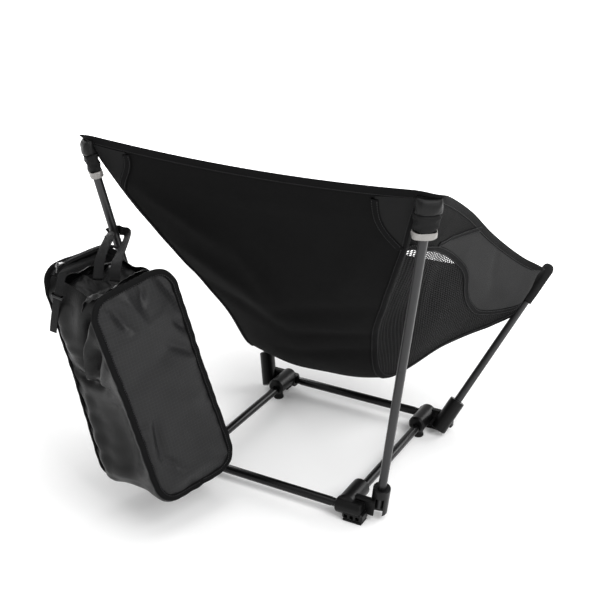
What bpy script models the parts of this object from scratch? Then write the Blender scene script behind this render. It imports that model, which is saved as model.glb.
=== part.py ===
"""Ultralight backpacking chair: a pull-apart pole frame, a sewn sling and the carry bag on its left post.

Frame of reference: origin on the ground below the middle of the whole object's width and length. +X is the
sitter's right, +Y is forward and +Z is up. The driving dimensions measure Y from the rear cross tube's axis,
and centre_origin() moves the finished parts. Lengths are metres and angles are radians.
"""

import math

import bmesh
import bpy
from mathutils import Matrix, Vector

ORIGIN_Y = 0.114            # rear cross tube's axis to the origin

# Base frame
HALF_TRACK = 0.136          # mid-plane to a side tube's axis
BASE_DEPTH = 0.310          # rear cross tube to front cross tube
TUBE_AXIS_Z = 0.020
TUBE_R = 0.0070
TUBE_WALL = 0.0009
FIT_GAP = 0.0004            # running gap between a tube and its socket
PLUG_STEP = 0.0006          # how much a cross tube narrows where it plugs into a collar
PLUG_SHORT = 0.006          # how far its end stops before the collar's outer face
PLUG_NECK = 0.009           # how far outside the collar it narrows
SIDE_TUBE_INSET = 0.017     # corner to a side tube's end, inside the barrel

# Posts: the mouth is where the post enters its hub, and the lean is run per unit of rise
POST_R = 0.0065
POST_WALL = 0.0008
SOCKET_DEPTH = 0.040
REAR_MOUTH = (0.185, 0.018, 0.058)
REAR_LEAN = (0.166, -0.1405, 1.0)
REAR_POST_TOP_Z = 0.532
FRONT_MOUTH = (0.186, 0.315, 0.058)
FRONT_LEAN = (0.453, 0.575, 1.0)
FRONT_POST_TOP_Z = 0.272
FERRULE_LENGTH = 0.060
FERRULE_WALL = 0.0008
SLIP_GAP = 0.0003           # gap between parts that touch, such as a ferrule and its post
POST_SPLIT = 0.0003         # gap between the two sections of a rear post
TIP_DEPTH = 0.018
TIP_DOME = 0.7              # height of a tip's domed head as a share of the post's radius

# Hubs
COLLAR_R = 0.0125
COLLAR_INNER_X = 0.121
COLLAR_OUTER_X = 0.163
BARREL_R = 0.0145
BARREL_LENGTH = 0.052
BARREL_RISE = 0.005
HOLDER_R = 0.0132
RING_HEIGHT = 0.015
FOOT_WIDTH = 0.034
FOOT_DEPTH = 0.024
FOOT_TOP_Z = 0.0183
PAD_THICKNESS = 0.004
STUD_R = 0.009
STUD_BASE_Z = 0.0045
STUD_FROM_CORNER = 0.040
FOOT_OUTSET = 0.014         # side tube's axis to the foot's middle
HOLDER_FOOT_Z = 0.010
BARREL_OVERRUN = 0.004      # how far the barrel runs past the cross tube's axis
WEB_HALF_X = 0.022
WEB_HALF_Y = 0.006
WEB_TOP_Z = 0.036
SLOT_PITCH = 0.0095
SLOT_HALF_W = 0.0028
SLOT_DEPTH = 0.004
SLOT_LOW_Z = 0.0075
SLOT_HIGH_Z = 0.0135
CHANNEL_HALF_W = 0.0062
CHANNEL_DEPTH = 0.020
CHANNEL_LENGTH = 0.060

# Sling: width positions of the mid-plane, the panel seam and the side hem at six stations from the rear
# hem to the front hem, each as (x, y, z)
CENTRE_LINE = (
    (0.0, -0.040, 0.532), (0.0, -0.006, 0.420), (0.0, 0.065, 0.270),
    (0.0, 0.150, 0.153), (0.0, 0.280, 0.168), (0.0, 0.394, 0.198),
)
SEAM_LINE = (
    (0.256, -0.037, 0.538), (0.201, 0.002, 0.420), (0.132, 0.087, 0.270),
    (0.120, 0.155, 0.166), (0.175, 0.270, 0.188), (0.243, 0.397, 0.210),
)
SIDE_LINE = (
    (0.279, -0.034, 0.544), (0.256, 0.020, 0.507), (0.247, 0.110, 0.456),
    (0.246, 0.200, 0.407), (0.252, 0.290, 0.356), (0.284, 0.423, 0.277),
)
SIDE_BULGE = 0.010
CLOTH = 0.0012
SEAM_GAP = 0.0014
HEM_R = 0.0032
HEM_INSET = 0.0048
MESH_TOP = 0.74             # share of the side panel's height that is mesh
MESH_FROM = 0.15            # mesh begins and ends at these shares of the sling's length
MESH_TO = 0.66
PATCH_STANDOFF = 0.0018

# Corner pockets and pull tabs
POCKET_R = 0.0086             # half its thickness; its half width is this times the flatness
SLEEVE_FLATNESS = 1.85
POCKET_CROWN = 0.0080
INWARD_X, INWARD_Y = 0.64, 0.77
REAR_POCKET_LENGTH = 0.046
FRONT_POCKET_LENGTH = 0.070
TAB_HEIGHT = 0.012

# Carry bag: its middle, and unit directions up its length, across its width and through its thickness
BAG_MIDDLE = (-0.151, -0.123, 0.224)
BAG_UP = (-0.202, -0.061, 0.977)
BAG_ACROSS = (0.331, 0.935, 0.126)
BAG_LENGTH = 0.330
BAG_WIDTH = 0.132
BAG_THICKNESS = 0.140
BAG_CORNER_R = 0.030
BAG_PIPING_R = 0.0040
BAG_CLOTH = 0.0016
HANDLE_Z = 0.412            # height of the handle's bend round the left rear post
WEBBING = 0.0016
HANDLE_WIDTH = 0.018
STRAP_WIDTH = 0.014
ZIP_LENGTH = 0.094

ROUND_STEPS = 20
SOCKET_STEPS = 20
SMALL_STEPS = 14

parts = None
cutters = None
materials = {}


def clear_scene():
    for obj in list(bpy.data.objects):
        bpy.data.objects.remove(obj, do_unlink=True)


def collection(name):
    made = bpy.data.collections.new(name)
    bpy.context.scene.collection.children.link(made)
    return made


def material(name, colour, roughness, metallic=0.0):
    """A plain Principled material, made once for each name."""
    if name not in materials:
        made = bpy.data.materials.new(name)
        made.use_nodes = True
        shader = made.node_tree.nodes["Principled BSDF"]
        shader.inputs["Base Color"].default_value = (*colour, 1.0)
        shader.inputs["Roughness"].default_value = roughness
        shader.inputs["Metallic"].default_value = metallic
        made.diffuse_color = (*colour, 1.0)
        materials[name] = made
    return materials[name]


def moulding():
    return material("moulded_plastic", (0.020, 0.020, 0.021), 0.48)


def rubber():
    return material("rubber", (0.012, 0.012, 0.012), 0.85)


def base_alloy():
    return material("black_alloy", (0.014, 0.014, 0.015), 0.26, 0.85)


def post_alloy():
    return material("grey_alloy", (0.045, 0.046, 0.048), 0.34, 0.85)


def ripstop():
    return material("seat_cloth", (0.014, 0.014, 0.015), 0.80)


def wing_cloth():
    return material("wing_cloth", (0.036, 0.037, 0.038), 0.80)


def mesh_cloth():
    return material("mesh_cloth", (0.010, 0.010, 0.010), 0.90)


def tape():
    return material("binding_tape", (0.018, 0.018, 0.019), 0.72)


def reflective():
    return material("reflective_tape", (0.430, 0.420, 0.400), 0.45)


def bag_cloth():
    return material("bag_cloth", (0.030, 0.030, 0.032), 0.42)


def own_copy(mat, name):
    """Each sub-part carries its own material, so that its finish can be changed alone."""
    made = mat.copy()
    made.name = "finish_" + name
    return made


def add_part(obj, name, mat):
    """Names an object as one sub-part and puts it in the chair's collection."""
    obj.name = name
    obj.data.name = name
    obj.data.materials.clear()
    obj.data.materials.append(own_copy(mat, name))
    for owner in list(obj.users_collection):
        owner.objects.unlink(obj)
    parts.objects.link(obj)
    return obj


def add_cutter(obj, name):
    """Names an object as a Boolean operand, which isn't part of the chair."""
    obj.name = name
    obj.hide_render = True
    obj.display_type = "WIRE"
    for owner in list(obj.users_collection):
        owner.objects.unlink(obj)
    cutters.objects.link(obj)
    return obj


def mesh_object(name, build):
    """An object whose mesh is filled in by build(bm)."""
    bm = bmesh.new()
    build(bm)
    mesh = bpy.data.meshes.new(name)
    bm.to_mesh(mesh)
    bm.free()
    obj = bpy.data.objects.new(name, mesh)
    bpy.context.scene.collection.objects.link(obj)
    return obj


def placed(origin, along, towards=None):
    """A matrix at origin with local Z along one direction and local Y as near as can be to another."""
    z = Vector(along).normalized()
    if towards is None:
        towards = (0.0, 0.0, 1.0) if abs(z.y) > 0.9 else (0.0, 1.0, 0.0)
    y = Vector(towards) - z * Vector(towards).dot(z)
    y.normalize()
    x = y.cross(z)
    turn = Matrix((x, y, z)).transposed().to_4x4()
    return Matrix.Translation(Vector(origin)) @ turn


def turned(name, profile, place, steps=ROUND_STEPS, closed=False):
    """A solid of revolution round local Z. The profile is (radius, height) down the outer side."""

    def build(bm):
        ring = [bm.verts.new((radius, 0.0, height)) for radius, height in profile]
        for first, second in zip(ring, ring[1:]):
            bm.edges.new((first, second))
        if closed:
            bm.edges.new((ring[-1], ring[0]))

    obj = mesh_object(name, build)
    obj.matrix_world = place
    screw = obj.modifiers.new("turn", "SCREW")
    screw.axis = "Z"
    screw.steps = steps
    screw.render_steps = steps
    screw.use_merge_vertices = True
    screw.merge_threshold = 0.00001
    screw.use_smooth_shade = True
    return obj


def pipe(name, start, end, outer, inner, steps=ROUND_STEPS):
    """A hollow round tube between two points, with its origin at the start."""
    length = (Vector(end) - Vector(start)).length
    profile = ((outer, length), (outer, 0.0), (inner, 0.0), (inner, length))
    return turned(name, profile, placed(start, Vector(end) - Vector(start)), steps, closed=True)


def rod(name, start, end, radius, chamfer=0.0, steps=SOCKET_STEPS):
    """A solid round bar between two points, with an optional chamfer at both ends."""
    length = (Vector(end) - Vector(start)).length
    profile = [(0.0, length), (radius - chamfer, length), (radius, length - chamfer)]
    profile += [(radius, chamfer), (radius - chamfer, 0.0), (0.0, 0.0)]
    if chamfer == 0.0:
        profile = [(0.0, length), (radius, length), (radius, 0.0), (0.0, 0.0)]
    return turned(name, profile, placed(start, Vector(end) - Vector(start)), steps)


def block(name, low, high, place=None):
    """A box between two corners, in the frame that place gives."""
    size = Vector(high) - Vector(low)
    middle = (Vector(high) + Vector(low)) / 2

    def build(bm):
        bmesh.ops.create_cube(bm, size=1.0)
        bmesh.ops.scale(bm, vec=size, verts=bm.verts)
        bmesh.ops.translate(bm, vec=middle, verts=bm.verts)

    obj = mesh_object(name, build)
    if place is not None:
        obj.matrix_world = place
    return obj


def boolean(target, operand, operation):
    """Joins an operand to a part or cuts it away, and files the operand with the cutters."""
    add_cutter(operand, operand.name)
    step = target.modifiers.new(operand.name, "BOOLEAN")
    step.operation = operation
    step.object = operand
    step.solver = "EXACT"


def join(target, operand):
    boolean(target, operand, "UNION")


def cut(target, operand):
    boolean(target, operand, "DIFFERENCE")


def bevel_edges(obj, width, angle=math.radians(40), segments=1):
    bevel = obj.modifiers.new("bevel", "BEVEL")
    bevel.width = width
    bevel.segments = segments
    bevel.limit_method = "ANGLE"
    bevel.angle_limit = angle


def side_name(side):
    return "right" if side > 0 else "left"


def mirrored(point, side):
    """A right-hand point, carried to the named side of the chair."""
    return Vector((side * point[0], point[1], point[2]))


def lean(direction, side):
    return mirrored(direction, side).normalized()


# ---------------------------------------------------------------- base frame


def cross_tube(name, y):
    """A tube from hub to hub, with its narrower plug ends inside the collars."""
    reach = COLLAR_OUTER_X - PLUG_SHORT
    neck = COLLAR_INNER_X - PLUG_NECK
    neck_r = TUBE_R - PLUG_STEP
    bore_r = neck_r - TUBE_WALL
    half = ((neck_r, reach), (neck_r, neck), (TUBE_R, neck - 0.001))
    outer = half + tuple((radius, -height) for radius, height in reversed(half))
    profile = outer + ((bore_r, -reach), (bore_r, reach))
    place = placed((0.0, y, TUBE_AXIS_Z), (1.0, 0.0, 0.0))
    add_part(turned(name, profile, place, closed=True), name, base_alloy())


def side_tube(side):
    name = "side_tube_" + side_name(side)
    start = (side * HALF_TRACK, SIDE_TUBE_INSET, TUBE_AXIS_Z)
    end = (side * HALF_TRACK, BASE_DEPTH - SIDE_TUBE_INSET, TUBE_AXIS_Z)
    add_part(pipe(name, start, end, TUBE_R, TUBE_R - TUBE_WALL), name, base_alloy())


def hub(side, end):
    """One moulded corner hub: cross-tube collar, side-tube barrel, post holder, web and slotted foot."""
    rear = end == "rear"
    inward = 1.0 if rear else -1.0
    corner_y = 0.0 if rear else BASE_DEPTH
    mouth = mirrored(REAR_MOUTH if rear else FRONT_MOUTH, side)
    axis = lean(REAR_LEAN if rear else FRONT_LEAN, side)
    name = "hub_{}_{}".format(end, side_name(side))
    x = side * HALF_TRACK

    collar_from = (side * COLLAR_INNER_X, corner_y, TUBE_AXIS_Z)
    collar_to = (side * COLLAR_OUTER_X, corner_y, TUBE_AXIS_Z)
    body = rod(name, collar_from, collar_to, COLLAR_R, chamfer=0.0016)
    add_part(body, name, moulding())

    barrel_z = TUBE_AXIS_Z + BARREL_RISE
    barrel_from = (x, corner_y - inward * BARREL_OVERRUN, barrel_z)
    barrel_to = (x, corner_y + inward * BARREL_LENGTH, barrel_z)
    join(body, rod("barrel_" + name, barrel_from, barrel_to, BARREL_R, chamfer=0.003))

    foot = block("foot_" + name, (-FOOT_WIDTH / 2, -FOOT_DEPTH / 2, PAD_THICKNESS),
                 (FOOT_WIDTH / 2, FOOT_DEPTH / 2, FOOT_TOP_Z))
    foot_x = side * (HALF_TRACK + FOOT_OUTSET)
    foot.location = (foot_x, corner_y, 0.0)
    bevel_edges(foot, 0.003)
    join(body, foot)

    holder_bottom = mouth - axis * ((mouth.z - HOLDER_FOOT_Z) / axis.z)
    join(body, rod("holder_" + name, holder_bottom, mouth, HOLDER_R, chamfer=0.0012))
    web = block("web_" + name, (-WEB_HALF_X, -WEB_HALF_Y, HOLDER_FOOT_Z), (WEB_HALF_X, WEB_HALF_Y, WEB_TOP_Z))
    web_y = corner_y + inward * (2 * WEB_HALF_Y if rear else BARREL_OVERRUN)
    web.location = ((x + mouth.x) / 2, web_y, 0.0)
    bevel_edges(web, 0.002)
    join(body, web)

    stud_y = corner_y + inward * STUD_FROM_CORNER
    stud_top = BARREL_R + 0.0008
    join(body, rod("stud_base_" + name, (x, stud_y, STUD_BASE_Z), (x, stud_y, stud_top), STUD_R - 0.0012))

    collar_mouth = (side * (COLLAR_INNER_X - 0.002), corner_y, TUBE_AXIS_Z)
    collar_blind = (side * (COLLAR_OUTER_X - 0.004), corner_y, TUBE_AXIS_Z)
    cut(body, rod("collar_bore_" + name, collar_mouth, collar_blind, TUBE_R + FIT_GAP / 2))
    barrel_mouth = (x, corner_y + inward * (BARREL_LENGTH + 0.002), TUBE_AXIS_Z)
    barrel_blind = (x, corner_y + inward * 0.014, TUBE_AXIS_Z)
    cut(body, rod("barrel_bore_" + name, barrel_mouth, barrel_blind, TUBE_R + FIT_GAP))
    bore_bottom = mouth - axis * (SOCKET_DEPTH + 0.001)
    cut(body, rod("post_bore_" + name, bore_bottom, mouth + axis * 0.002, POST_R + FIT_GAP))

    # The holder is a closed ring above and an open channel below, open away from the seat.
    channel = block("channel_" + name, (-CHANNEL_HALF_W, 0.0, -CHANNEL_LENGTH),
                    (CHANNEL_HALF_W, CHANNEL_DEPTH, -RING_HEIGHT))
    channel.matrix_world = placed(mouth, axis, (side * 0.35, -inward, 0.0))
    cut(body, channel)

    for index in (-1, 0, 1):
        slot = block("slot{}_{}".format(index + 2, name), (-SLOT_HALF_W, -SLOT_DEPTH, SLOT_LOW_Z),
                     (SLOT_HALF_W, SLOT_DEPTH, SLOT_HIGH_Z))
        slot.location = (foot_x + index * SLOT_PITCH, corner_y - inward * FOOT_DEPTH / 2, 0.0)
        cut(body, slot)


def foot_pad(side, end):
    name = "foot_pad_{}_{}".format(end, side_name(side))
    corner_y = 0.0 if end == "rear" else BASE_DEPTH
    half_w = FOOT_WIDTH / 2 - 0.0015
    half_d = FOOT_DEPTH / 2 - 0.0015
    pad = block(name, (-half_w, -half_d, 0.0), (half_w, half_d, PAD_THICKNESS - SLIP_GAP))
    pad.location = (side * (HALF_TRACK + FOOT_OUTSET), corner_y, 0.0)
    bevel_edges(pad, 0.001)
    add_part(pad, name, rubber())


def foot_stud(side, end):
    """A round rubber button on the base under the barrel."""
    name = "foot_stud_{}_{}".format(end, side_name(side))
    inward = 1.0 if end == "rear" else -1.0
    corner_y = 0.0 if end == "rear" else BASE_DEPTH
    top = STUD_BASE_Z - SLIP_GAP
    profile = ((0.0, top), (STUD_R, top), (STUD_R, 0.0010), (STUD_R - 0.0010, 0.0), (0.0, 0.0))
    place = Matrix.Translation((side * HALF_TRACK, corner_y + inward * STUD_FROM_CORNER, 0.0))
    add_part(turned(name, profile, place, SMALL_STEPS), name, rubber())


# --------------------------------------------------------------------- posts


def post_line(side, end):
    """(bottom, top, direction) of a post's axis."""
    rear = end == "rear"
    mouth = mirrored(REAR_MOUTH if rear else FRONT_MOUTH, side)
    axis = lean(REAR_LEAN if rear else FRONT_LEAN, side)
    top_z = REAR_POST_TOP_Z if rear else FRONT_POST_TOP_Z
    top = mouth + axis * ((top_z - mouth.z) / axis.z)
    return mouth - axis * SOCKET_DEPTH, top, axis


def post_tip(name, top, axis):
    """A plastic plug with a domed head that keeps the pocket from wearing through."""
    rim = 0.001
    dome = POST_R * TIP_DOME
    head = [(POST_R * math.cos(a), rim + dome * math.sin(a)) for a in map(math.radians, (60, 30, 0))]
    plug_r = POST_R - POST_WALL - SLIP_GAP
    profile = [(0.0, rim + dome)] + head + [(POST_R, SLIP_GAP), (plug_r, SLIP_GAP)]
    profile += [(plug_r, 0.002 - TIP_DEPTH), (plug_r - 0.001, -TIP_DEPTH), (0.0, -TIP_DEPTH)]
    add_part(turned(name, profile, placed(top, axis), SMALL_STEPS), name, moulding())


def rear_post(side):
    """Two tube sections on one internal ferrule, plus the tip."""
    bottom, top, axis = post_line(side, "rear")
    middle = (bottom + top) / 2
    hand = side_name(side)
    inner = POST_R - POST_WALL
    lower = "rear_post_lower_" + hand
    upper = "rear_post_upper_" + hand
    ferrule = "rear_post_ferrule_" + hand
    split = axis * POST_SPLIT / 2
    add_part(pipe(lower, bottom, middle - split, POST_R, inner), lower, post_alloy())
    add_part(pipe(upper, middle + split, top, POST_R, inner), upper, post_alloy())
    half = axis * FERRULE_LENGTH / 2
    outer = inner - SLIP_GAP
    add_part(pipe(ferrule, middle - half, middle + half, outer, outer - FERRULE_WALL), ferrule, base_alloy())
    post_tip("post_tip_rear_" + hand, top, axis)


def front_post(side):
    bottom, top, axis = post_line(side, "front")
    hand = side_name(side)
    name = "front_post_" + hand
    add_part(pipe(name, bottom, top, POST_R, POST_R - POST_WALL), name, post_alloy())
    post_tip("post_tip_front_" + hand, top, axis)


def sleeve(name, place, profile, bore_r, low, high, mat):
    """A flattened cloth sleeve with a round way through it for the post."""
    body = turned(name, profile, place @ Matrix.Diagonal((SLEEVE_FLATNESS, 1.0, 1.0, 1.0)), SMALL_STEPS)
    add_part(body, name, mat)
    cut(body, rod("bore_" + name, place @ Vector((0.0, 0.0, low)), place @ Vector((0.0, 0.0, high)), bore_r,
                  steps=SMALL_STEPS))
    return body


def corner_place(side, end):
    """A frame at a post's top with Z up the post and Y from the sling's corner towards its middle."""
    top, axis = post_line(side, end)[1:]
    inward = (-side * INWARD_X, INWARD_Y if end == "rear" else -INWARD_Y, 0.0)
    return placed(top, axis, inward)


def pocket(side, end):
    """A closed cloth sleeve over a post's tip."""
    rear = end == "rear"
    name = "corner_pocket_{}_{}".format(end, side_name(side))
    foot = POCKET_CROWN - (REAR_POCKET_LENGTH if rear else FRONT_POCKET_LENGTH)
    shoulder = POCKET_R - 0.003
    profile = ((0.0, POCKET_CROWN), (shoulder, POCKET_CROWN - 0.0008), (POCKET_R, POCKET_CROWN - 0.004),
               (POCKET_R, foot), (0.0, foot))
    sleeve(name, corner_place(side, end), profile, POST_R + 0.0012, foot - 0.002, POCKET_CROWN - 0.0016, tape())


def pull_tab(side):
    """The light tape wrapped round a rear post just below its pocket."""
    name = "pull_tab_" + side_name(side)
    upper = POCKET_CROWN - REAR_POCKET_LENGTH - 0.0004
    lower = upper - TAB_HEIGHT
    outer = POCKET_R + 0.0004
    profile = ((0.0, upper), (outer, upper), (outer, lower), (0.0, lower))
    place = corner_place(side, "rear")
    sleeve(name, place, profile, POST_R + 0.0010, lower - 0.002, upper + 0.002, reflective())


# --------------------------------------------------------------------- sling


def spline(points, share):
    """A smooth curve through evenly spaced stations, for share from 0 to 1."""
    spans = len(points) - 1
    place = min(max(share, 0.0), 1.0) * spans
    index = min(int(place), spans - 1)
    t = place - index
    p1, p2 = Vector(points[index]), Vector(points[index + 1])
    p0 = Vector(points[index - 1]) if index > 0 else p1 * 2 - p2
    p3 = Vector(points[index + 2]) if index + 2 <= spans else p2 * 2 - p1
    return 0.5 * (2 * p1 + (p2 - p0) * t + (2 * p0 - 5 * p1 + 4 * p2 - p3) * t * t
                  + (3 * p1 - p0 - 3 * p2 + p3) * t * t * t)


def centre_surface(across, along):
    """The middle panel. Across runs from -1 at the left seam to 1 at the right seam."""
    middle = spline(CENTRE_LINE, along)
    seam = spline(SEAM_LINE, along)
    bend = across * across
    rise = (seam - middle) * bend
    return Vector((seam.x * across, middle.y + rise.y, middle.z + rise.z))


def side_surface(side, up, along):
    """A side panel. Up runs from 0 at the seam to 1 at the side hem."""
    seam = spline(SEAM_LINE, along)
    hem = spline(SIDE_LINE, along)
    bulge = SIDE_BULGE * 4 * up * (1 - up) * min(1.0, (hem - seam).length / 0.15)
    point = seam + (hem - seam) * up + Vector((bulge, 0.0, -bulge * 0.4))
    return mirrored(point, side)


def cloth_panel(name, rows, mat, keep=lambda i, j: True, thickness=CLOTH):
    """A thin sewn panel from rows of points. Keep says which cells of the grid are cloth."""

    def build(bm):
        verts = [[bm.verts.new(point) for point in row] for row in rows]
        for i in range(len(rows) - 1):
            for j in range(len(rows[0]) - 1):
                if keep(i, j):
                    bm.faces.new((verts[i][j], verts[i][j + 1], verts[i + 1][j + 1], verts[i + 1][j]))
        loose = [vert for vert in bm.verts if not vert.link_faces]
        bmesh.ops.delete(bm, geom=loose, context="VERTS")
        bmesh.ops.recalc_face_normals(bm, faces=bm.faces)

    obj = mesh_object(name, build)
    solid = obj.modifiers.new("thickness", "SOLIDIFY")
    solid.thickness = thickness
    solid.offset = 0.0
    return add_part(obj, name, mat)


def shares(count, first=0.0, last=1.0):
    return [first + (last - first) * k / count for k in range(count + 1)]


def edge_share(length, gap):
    return gap / max(length, gap * 3)


def centre_rows(columns, stations):
    """Rows of the middle panel, each held back from the seam by the seam gap."""
    rows = []
    for along in stations:
        limit = 1 - edge_share(spline(SEAM_LINE, along).x, SEAM_GAP)
        rows.append([centre_surface(limit * c, along) for c in columns])
    return rows


def side_rows(side, levels, stations):
    rows = []
    for along in stations:
        height = (spline(SIDE_LINE, along) - spline(SEAM_LINE, along)).length
        low = edge_share(height, SEAM_GAP)
        high = 1 - edge_share(height, HEM_INSET)
        rows.append([side_surface(side, low + (high - low) * t, along) for t in levels])
    return rows


def sling_length():
    line = [spline(CENTRE_LINE, t) for t in shares(40)]
    return sum((b - a).length for a, b in zip(line, line[1:]))


def sling_panels():
    inset = HEM_INSET / sling_length() * 1.4
    cloth_panel("seat_panel", centre_rows(shares(12, -1.0, 1.0), shares(20, inset, 1 - inset)), ripstop())
    split = 0.0018
    levels = shares(4, 0.0, MESH_TOP - 2 * split) + shares(2, MESH_TOP + 2 * split, 1.0)
    stations = shares(3, inset * 1.6, MESH_FROM - split) + shares(9, MESH_FROM + split, MESH_TO - split)
    stations += shares(6, MESH_TO + split, 1 - inset * 1.6)
    for side in (-1, 1):
        hand = side_name(side)
        rows = side_rows(side, levels, stations)
        cloth_panel("side_mesh_" + hand, rows, mesh_cloth(),
                    keep=lambda i, j: 4 <= i <= 12 and j <= 3)
        cloth_panel("side_wing_" + hand, rows, wing_cloth(),
                    keep=lambda i, j: not (4 <= i <= 12 and j <= 3) and not
                    (i in (3, 13) and j <= 3) and not (4 <= i <= 12 and j == 4))


def corner_patch(side):
    """A reinforcement on the outer face of the middle panel, wide at the hem and narrow at the seam."""
    rows = []
    for along in shares(6, 0.024, 0.150):
        depth = (along - 0.024) / 0.126
        first = 0.62 + 0.33 * depth ** 1.3
        row = []
        for across in shares(5, first, 0.975):
            here = centre_surface(across, along)
            ahead = centre_surface(across, along + 0.01) - here
            outward = (centre_surface(across + 0.01, along) - here).cross(ahead).normalized()
            if outward.y > 0:
                outward = -outward
            point = here + outward * PATCH_STANDOFF
            row.append(Vector((side * point.x, point.y, point.z)))
        rows.append(row)
    name = "corner_patch_" + side_name(side)
    cloth_panel(name, rows, tape(), thickness=0.0010)


def piping(name, points, radius, mat, cyclic=False):
    """A round edge binding along a line of points."""
    curve = bpy.data.curves.new(name, "CURVE")
    curve.dimensions = "3D"
    curve.bevel_depth = radius
    curve.bevel_resolution = 1
    curve.use_fill_caps = not cyclic
    run = curve.splines.new("POLY")
    run.points.add(len(points) - 1)
    for place, point in zip(run.points, points):
        place.co = (*point, 1.0)
    run.use_cyclic_u = cyclic
    obj = bpy.data.objects.new(name, curve)
    bpy.context.scene.collection.objects.link(obj)
    return add_part(obj, name, mat)


def hems():
    """Four lengths of binding tape round the sling's outer edge."""
    corner = 0.985
    rear = [centre_surface(t * corner, 0.002) for t in shares(16, -1.0, 1.0)]
    front = [centre_surface(t * corner, 0.998) for t in shares(16, -1.0, 1.0)]
    piping("hem_rear", rear, HEM_R, tape())
    piping("hem_front", front, HEM_R, tape())
    for side in (-1, 1):
        line = [side_surface(side, 1.0, t) for t in shares(18, 0.006, 0.990)]
        name = "hem_side_" + side_name(side)
        piping(name, line, HEM_R, tape())


# ----------------------------------------------------------------------- bag


def bag_place():
    """The bag's own frame: local X through its thickness, Y across its width and Z up its length."""
    return placed(BAG_MIDDLE, BAG_UP, BAG_ACROSS)


def rounded_outline(half_w, half_h, radius, steps=5):
    """Points anticlockwise round a rectangle with round corners."""
    points = []
    corners = ((1, 1, 0), (-1, 1, 90), (-1, -1, 180), (1, -1, 270))
    for sign_w, sign_h, start in corners:
        for k in range(steps + 1):
            a = math.radians(start + 90 * k / steps)
            points.append((sign_w * (half_w - radius) + radius * math.cos(a),
                           sign_h * (half_h - radius) + radius * math.sin(a)))
    return points


def slab(name, outline, low, high):
    """A flat outline in the bag's width and length, made solid through its thickness."""

    def build(bm):
        face = bm.faces.new([bm.verts.new((low, w, h)) for w, h in outline])
        grown = bmesh.ops.extrude_face_region(bm, geom=[face])
        moved = [item for item in grown["geom"] if isinstance(item, bmesh.types.BMVert)]
        bmesh.ops.translate(bm, vec=(high - low, 0.0, 0.0), verts=moved)
        bmesh.ops.recalc_face_normals(bm, faces=bm.faces)

    obj = mesh_object(name, build)
    obj.matrix_world = bag_place()
    return obj


def bag_shell():
    half_w, half_h, half_t = BAG_WIDTH / 2, BAG_LENGTH / 2, BAG_THICKNESS / 2
    inset = BAG_PIPING_R + 0.0004
    panel_outline = rounded_outline(half_w - inset, half_h - inset, BAG_CORNER_R - inset)
    loop = rounded_outline(half_w, half_h, BAG_CORNER_R)
    for sign, label in ((1, "front"), (-1, "back")):
        level = sign * half_t
        panel = "bag_panel_" + label
        add_part(slab(panel, panel_outline, level - 0.0012, level + 0.0012), panel, bag_cloth())
        points = [bag_place() @ Vector((level, w, h)) for w, h in loop]
        piping("bag_binding_" + label, points, BAG_PIPING_R, tape(), cyclic=True)

    reach = half_t - BAG_PIPING_R - 0.0006
    gusset = slab("bag_gusset", rounded_outline(half_w, half_h, BAG_CORNER_R), -reach, reach)
    add_part(gusset, "bag_gusset", bag_cloth())
    inside = rounded_outline(half_w - BAG_CLOTH, half_h - BAG_CLOTH, BAG_CORNER_R - BAG_CLOTH)
    cut(gusset, slab("bag_hollow", inside, -reach - 0.01, reach + 0.01))
    mouth = block("bag_mouth", (-reach - 0.01, -half_w + BAG_CORNER_R, half_h - 0.02),
                  (reach + 0.01, half_w - BAG_CORNER_R, half_h + 0.02), bag_place())
    cut(gusset, mouth)


def ribbon(name, points, across, width, thickness, mat):
    """A flat strap along a line of points, as wide as it can be towards one direction."""
    rows = []
    for k, point in enumerate(points):
        run = points[min(k + 1, len(points) - 1)] - points[max(k - 1, 0)]
        wide = across - run * (across.dot(run) / run.length_squared)
        wide.normalize()
        rows.append([point + wide * width * t for t in (-0.5, 0.5)])
    return cloth_panel(name, rows, mat, thickness=thickness)


def handle_line():
    """The handle's path: one sewn end, up, half round the post, and down to the other sewn end."""
    bottom, top, axis = post_line(-1, "rear")
    centre = bottom + axis * ((HANDLE_Z - bottom.z) / axis.z)
    place = bag_place()
    ends = [place @ Vector((t, BAG_WIDTH / 2 - 0.024, BAG_LENGTH / 2 + 0.012)) for t in (-0.046, -0.012)]
    back = (ends[0] + ends[1]) / 2 - centre
    back = (back - axis * back.dot(axis)).normalized()
    out = axis.cross(back)
    radius = POST_R + 0.0016
    if (ends[1] - ends[0]).dot(out) < 0:
        out = -out
    bend = []
    for k in range(9):
        a = math.radians(-90 + 180 * k / 8)
        bend.append(centre + out * radius * math.sin(a) - back * radius * math.cos(a))
    first = [ends[0].lerp(bend[0], t) for t in (0.0, 0.35, 0.7)]
    last = [ends[1].lerp(bend[-1], t) for t in (0.7, 0.35, 0.0)]
    return first + bend + last, axis


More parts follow.
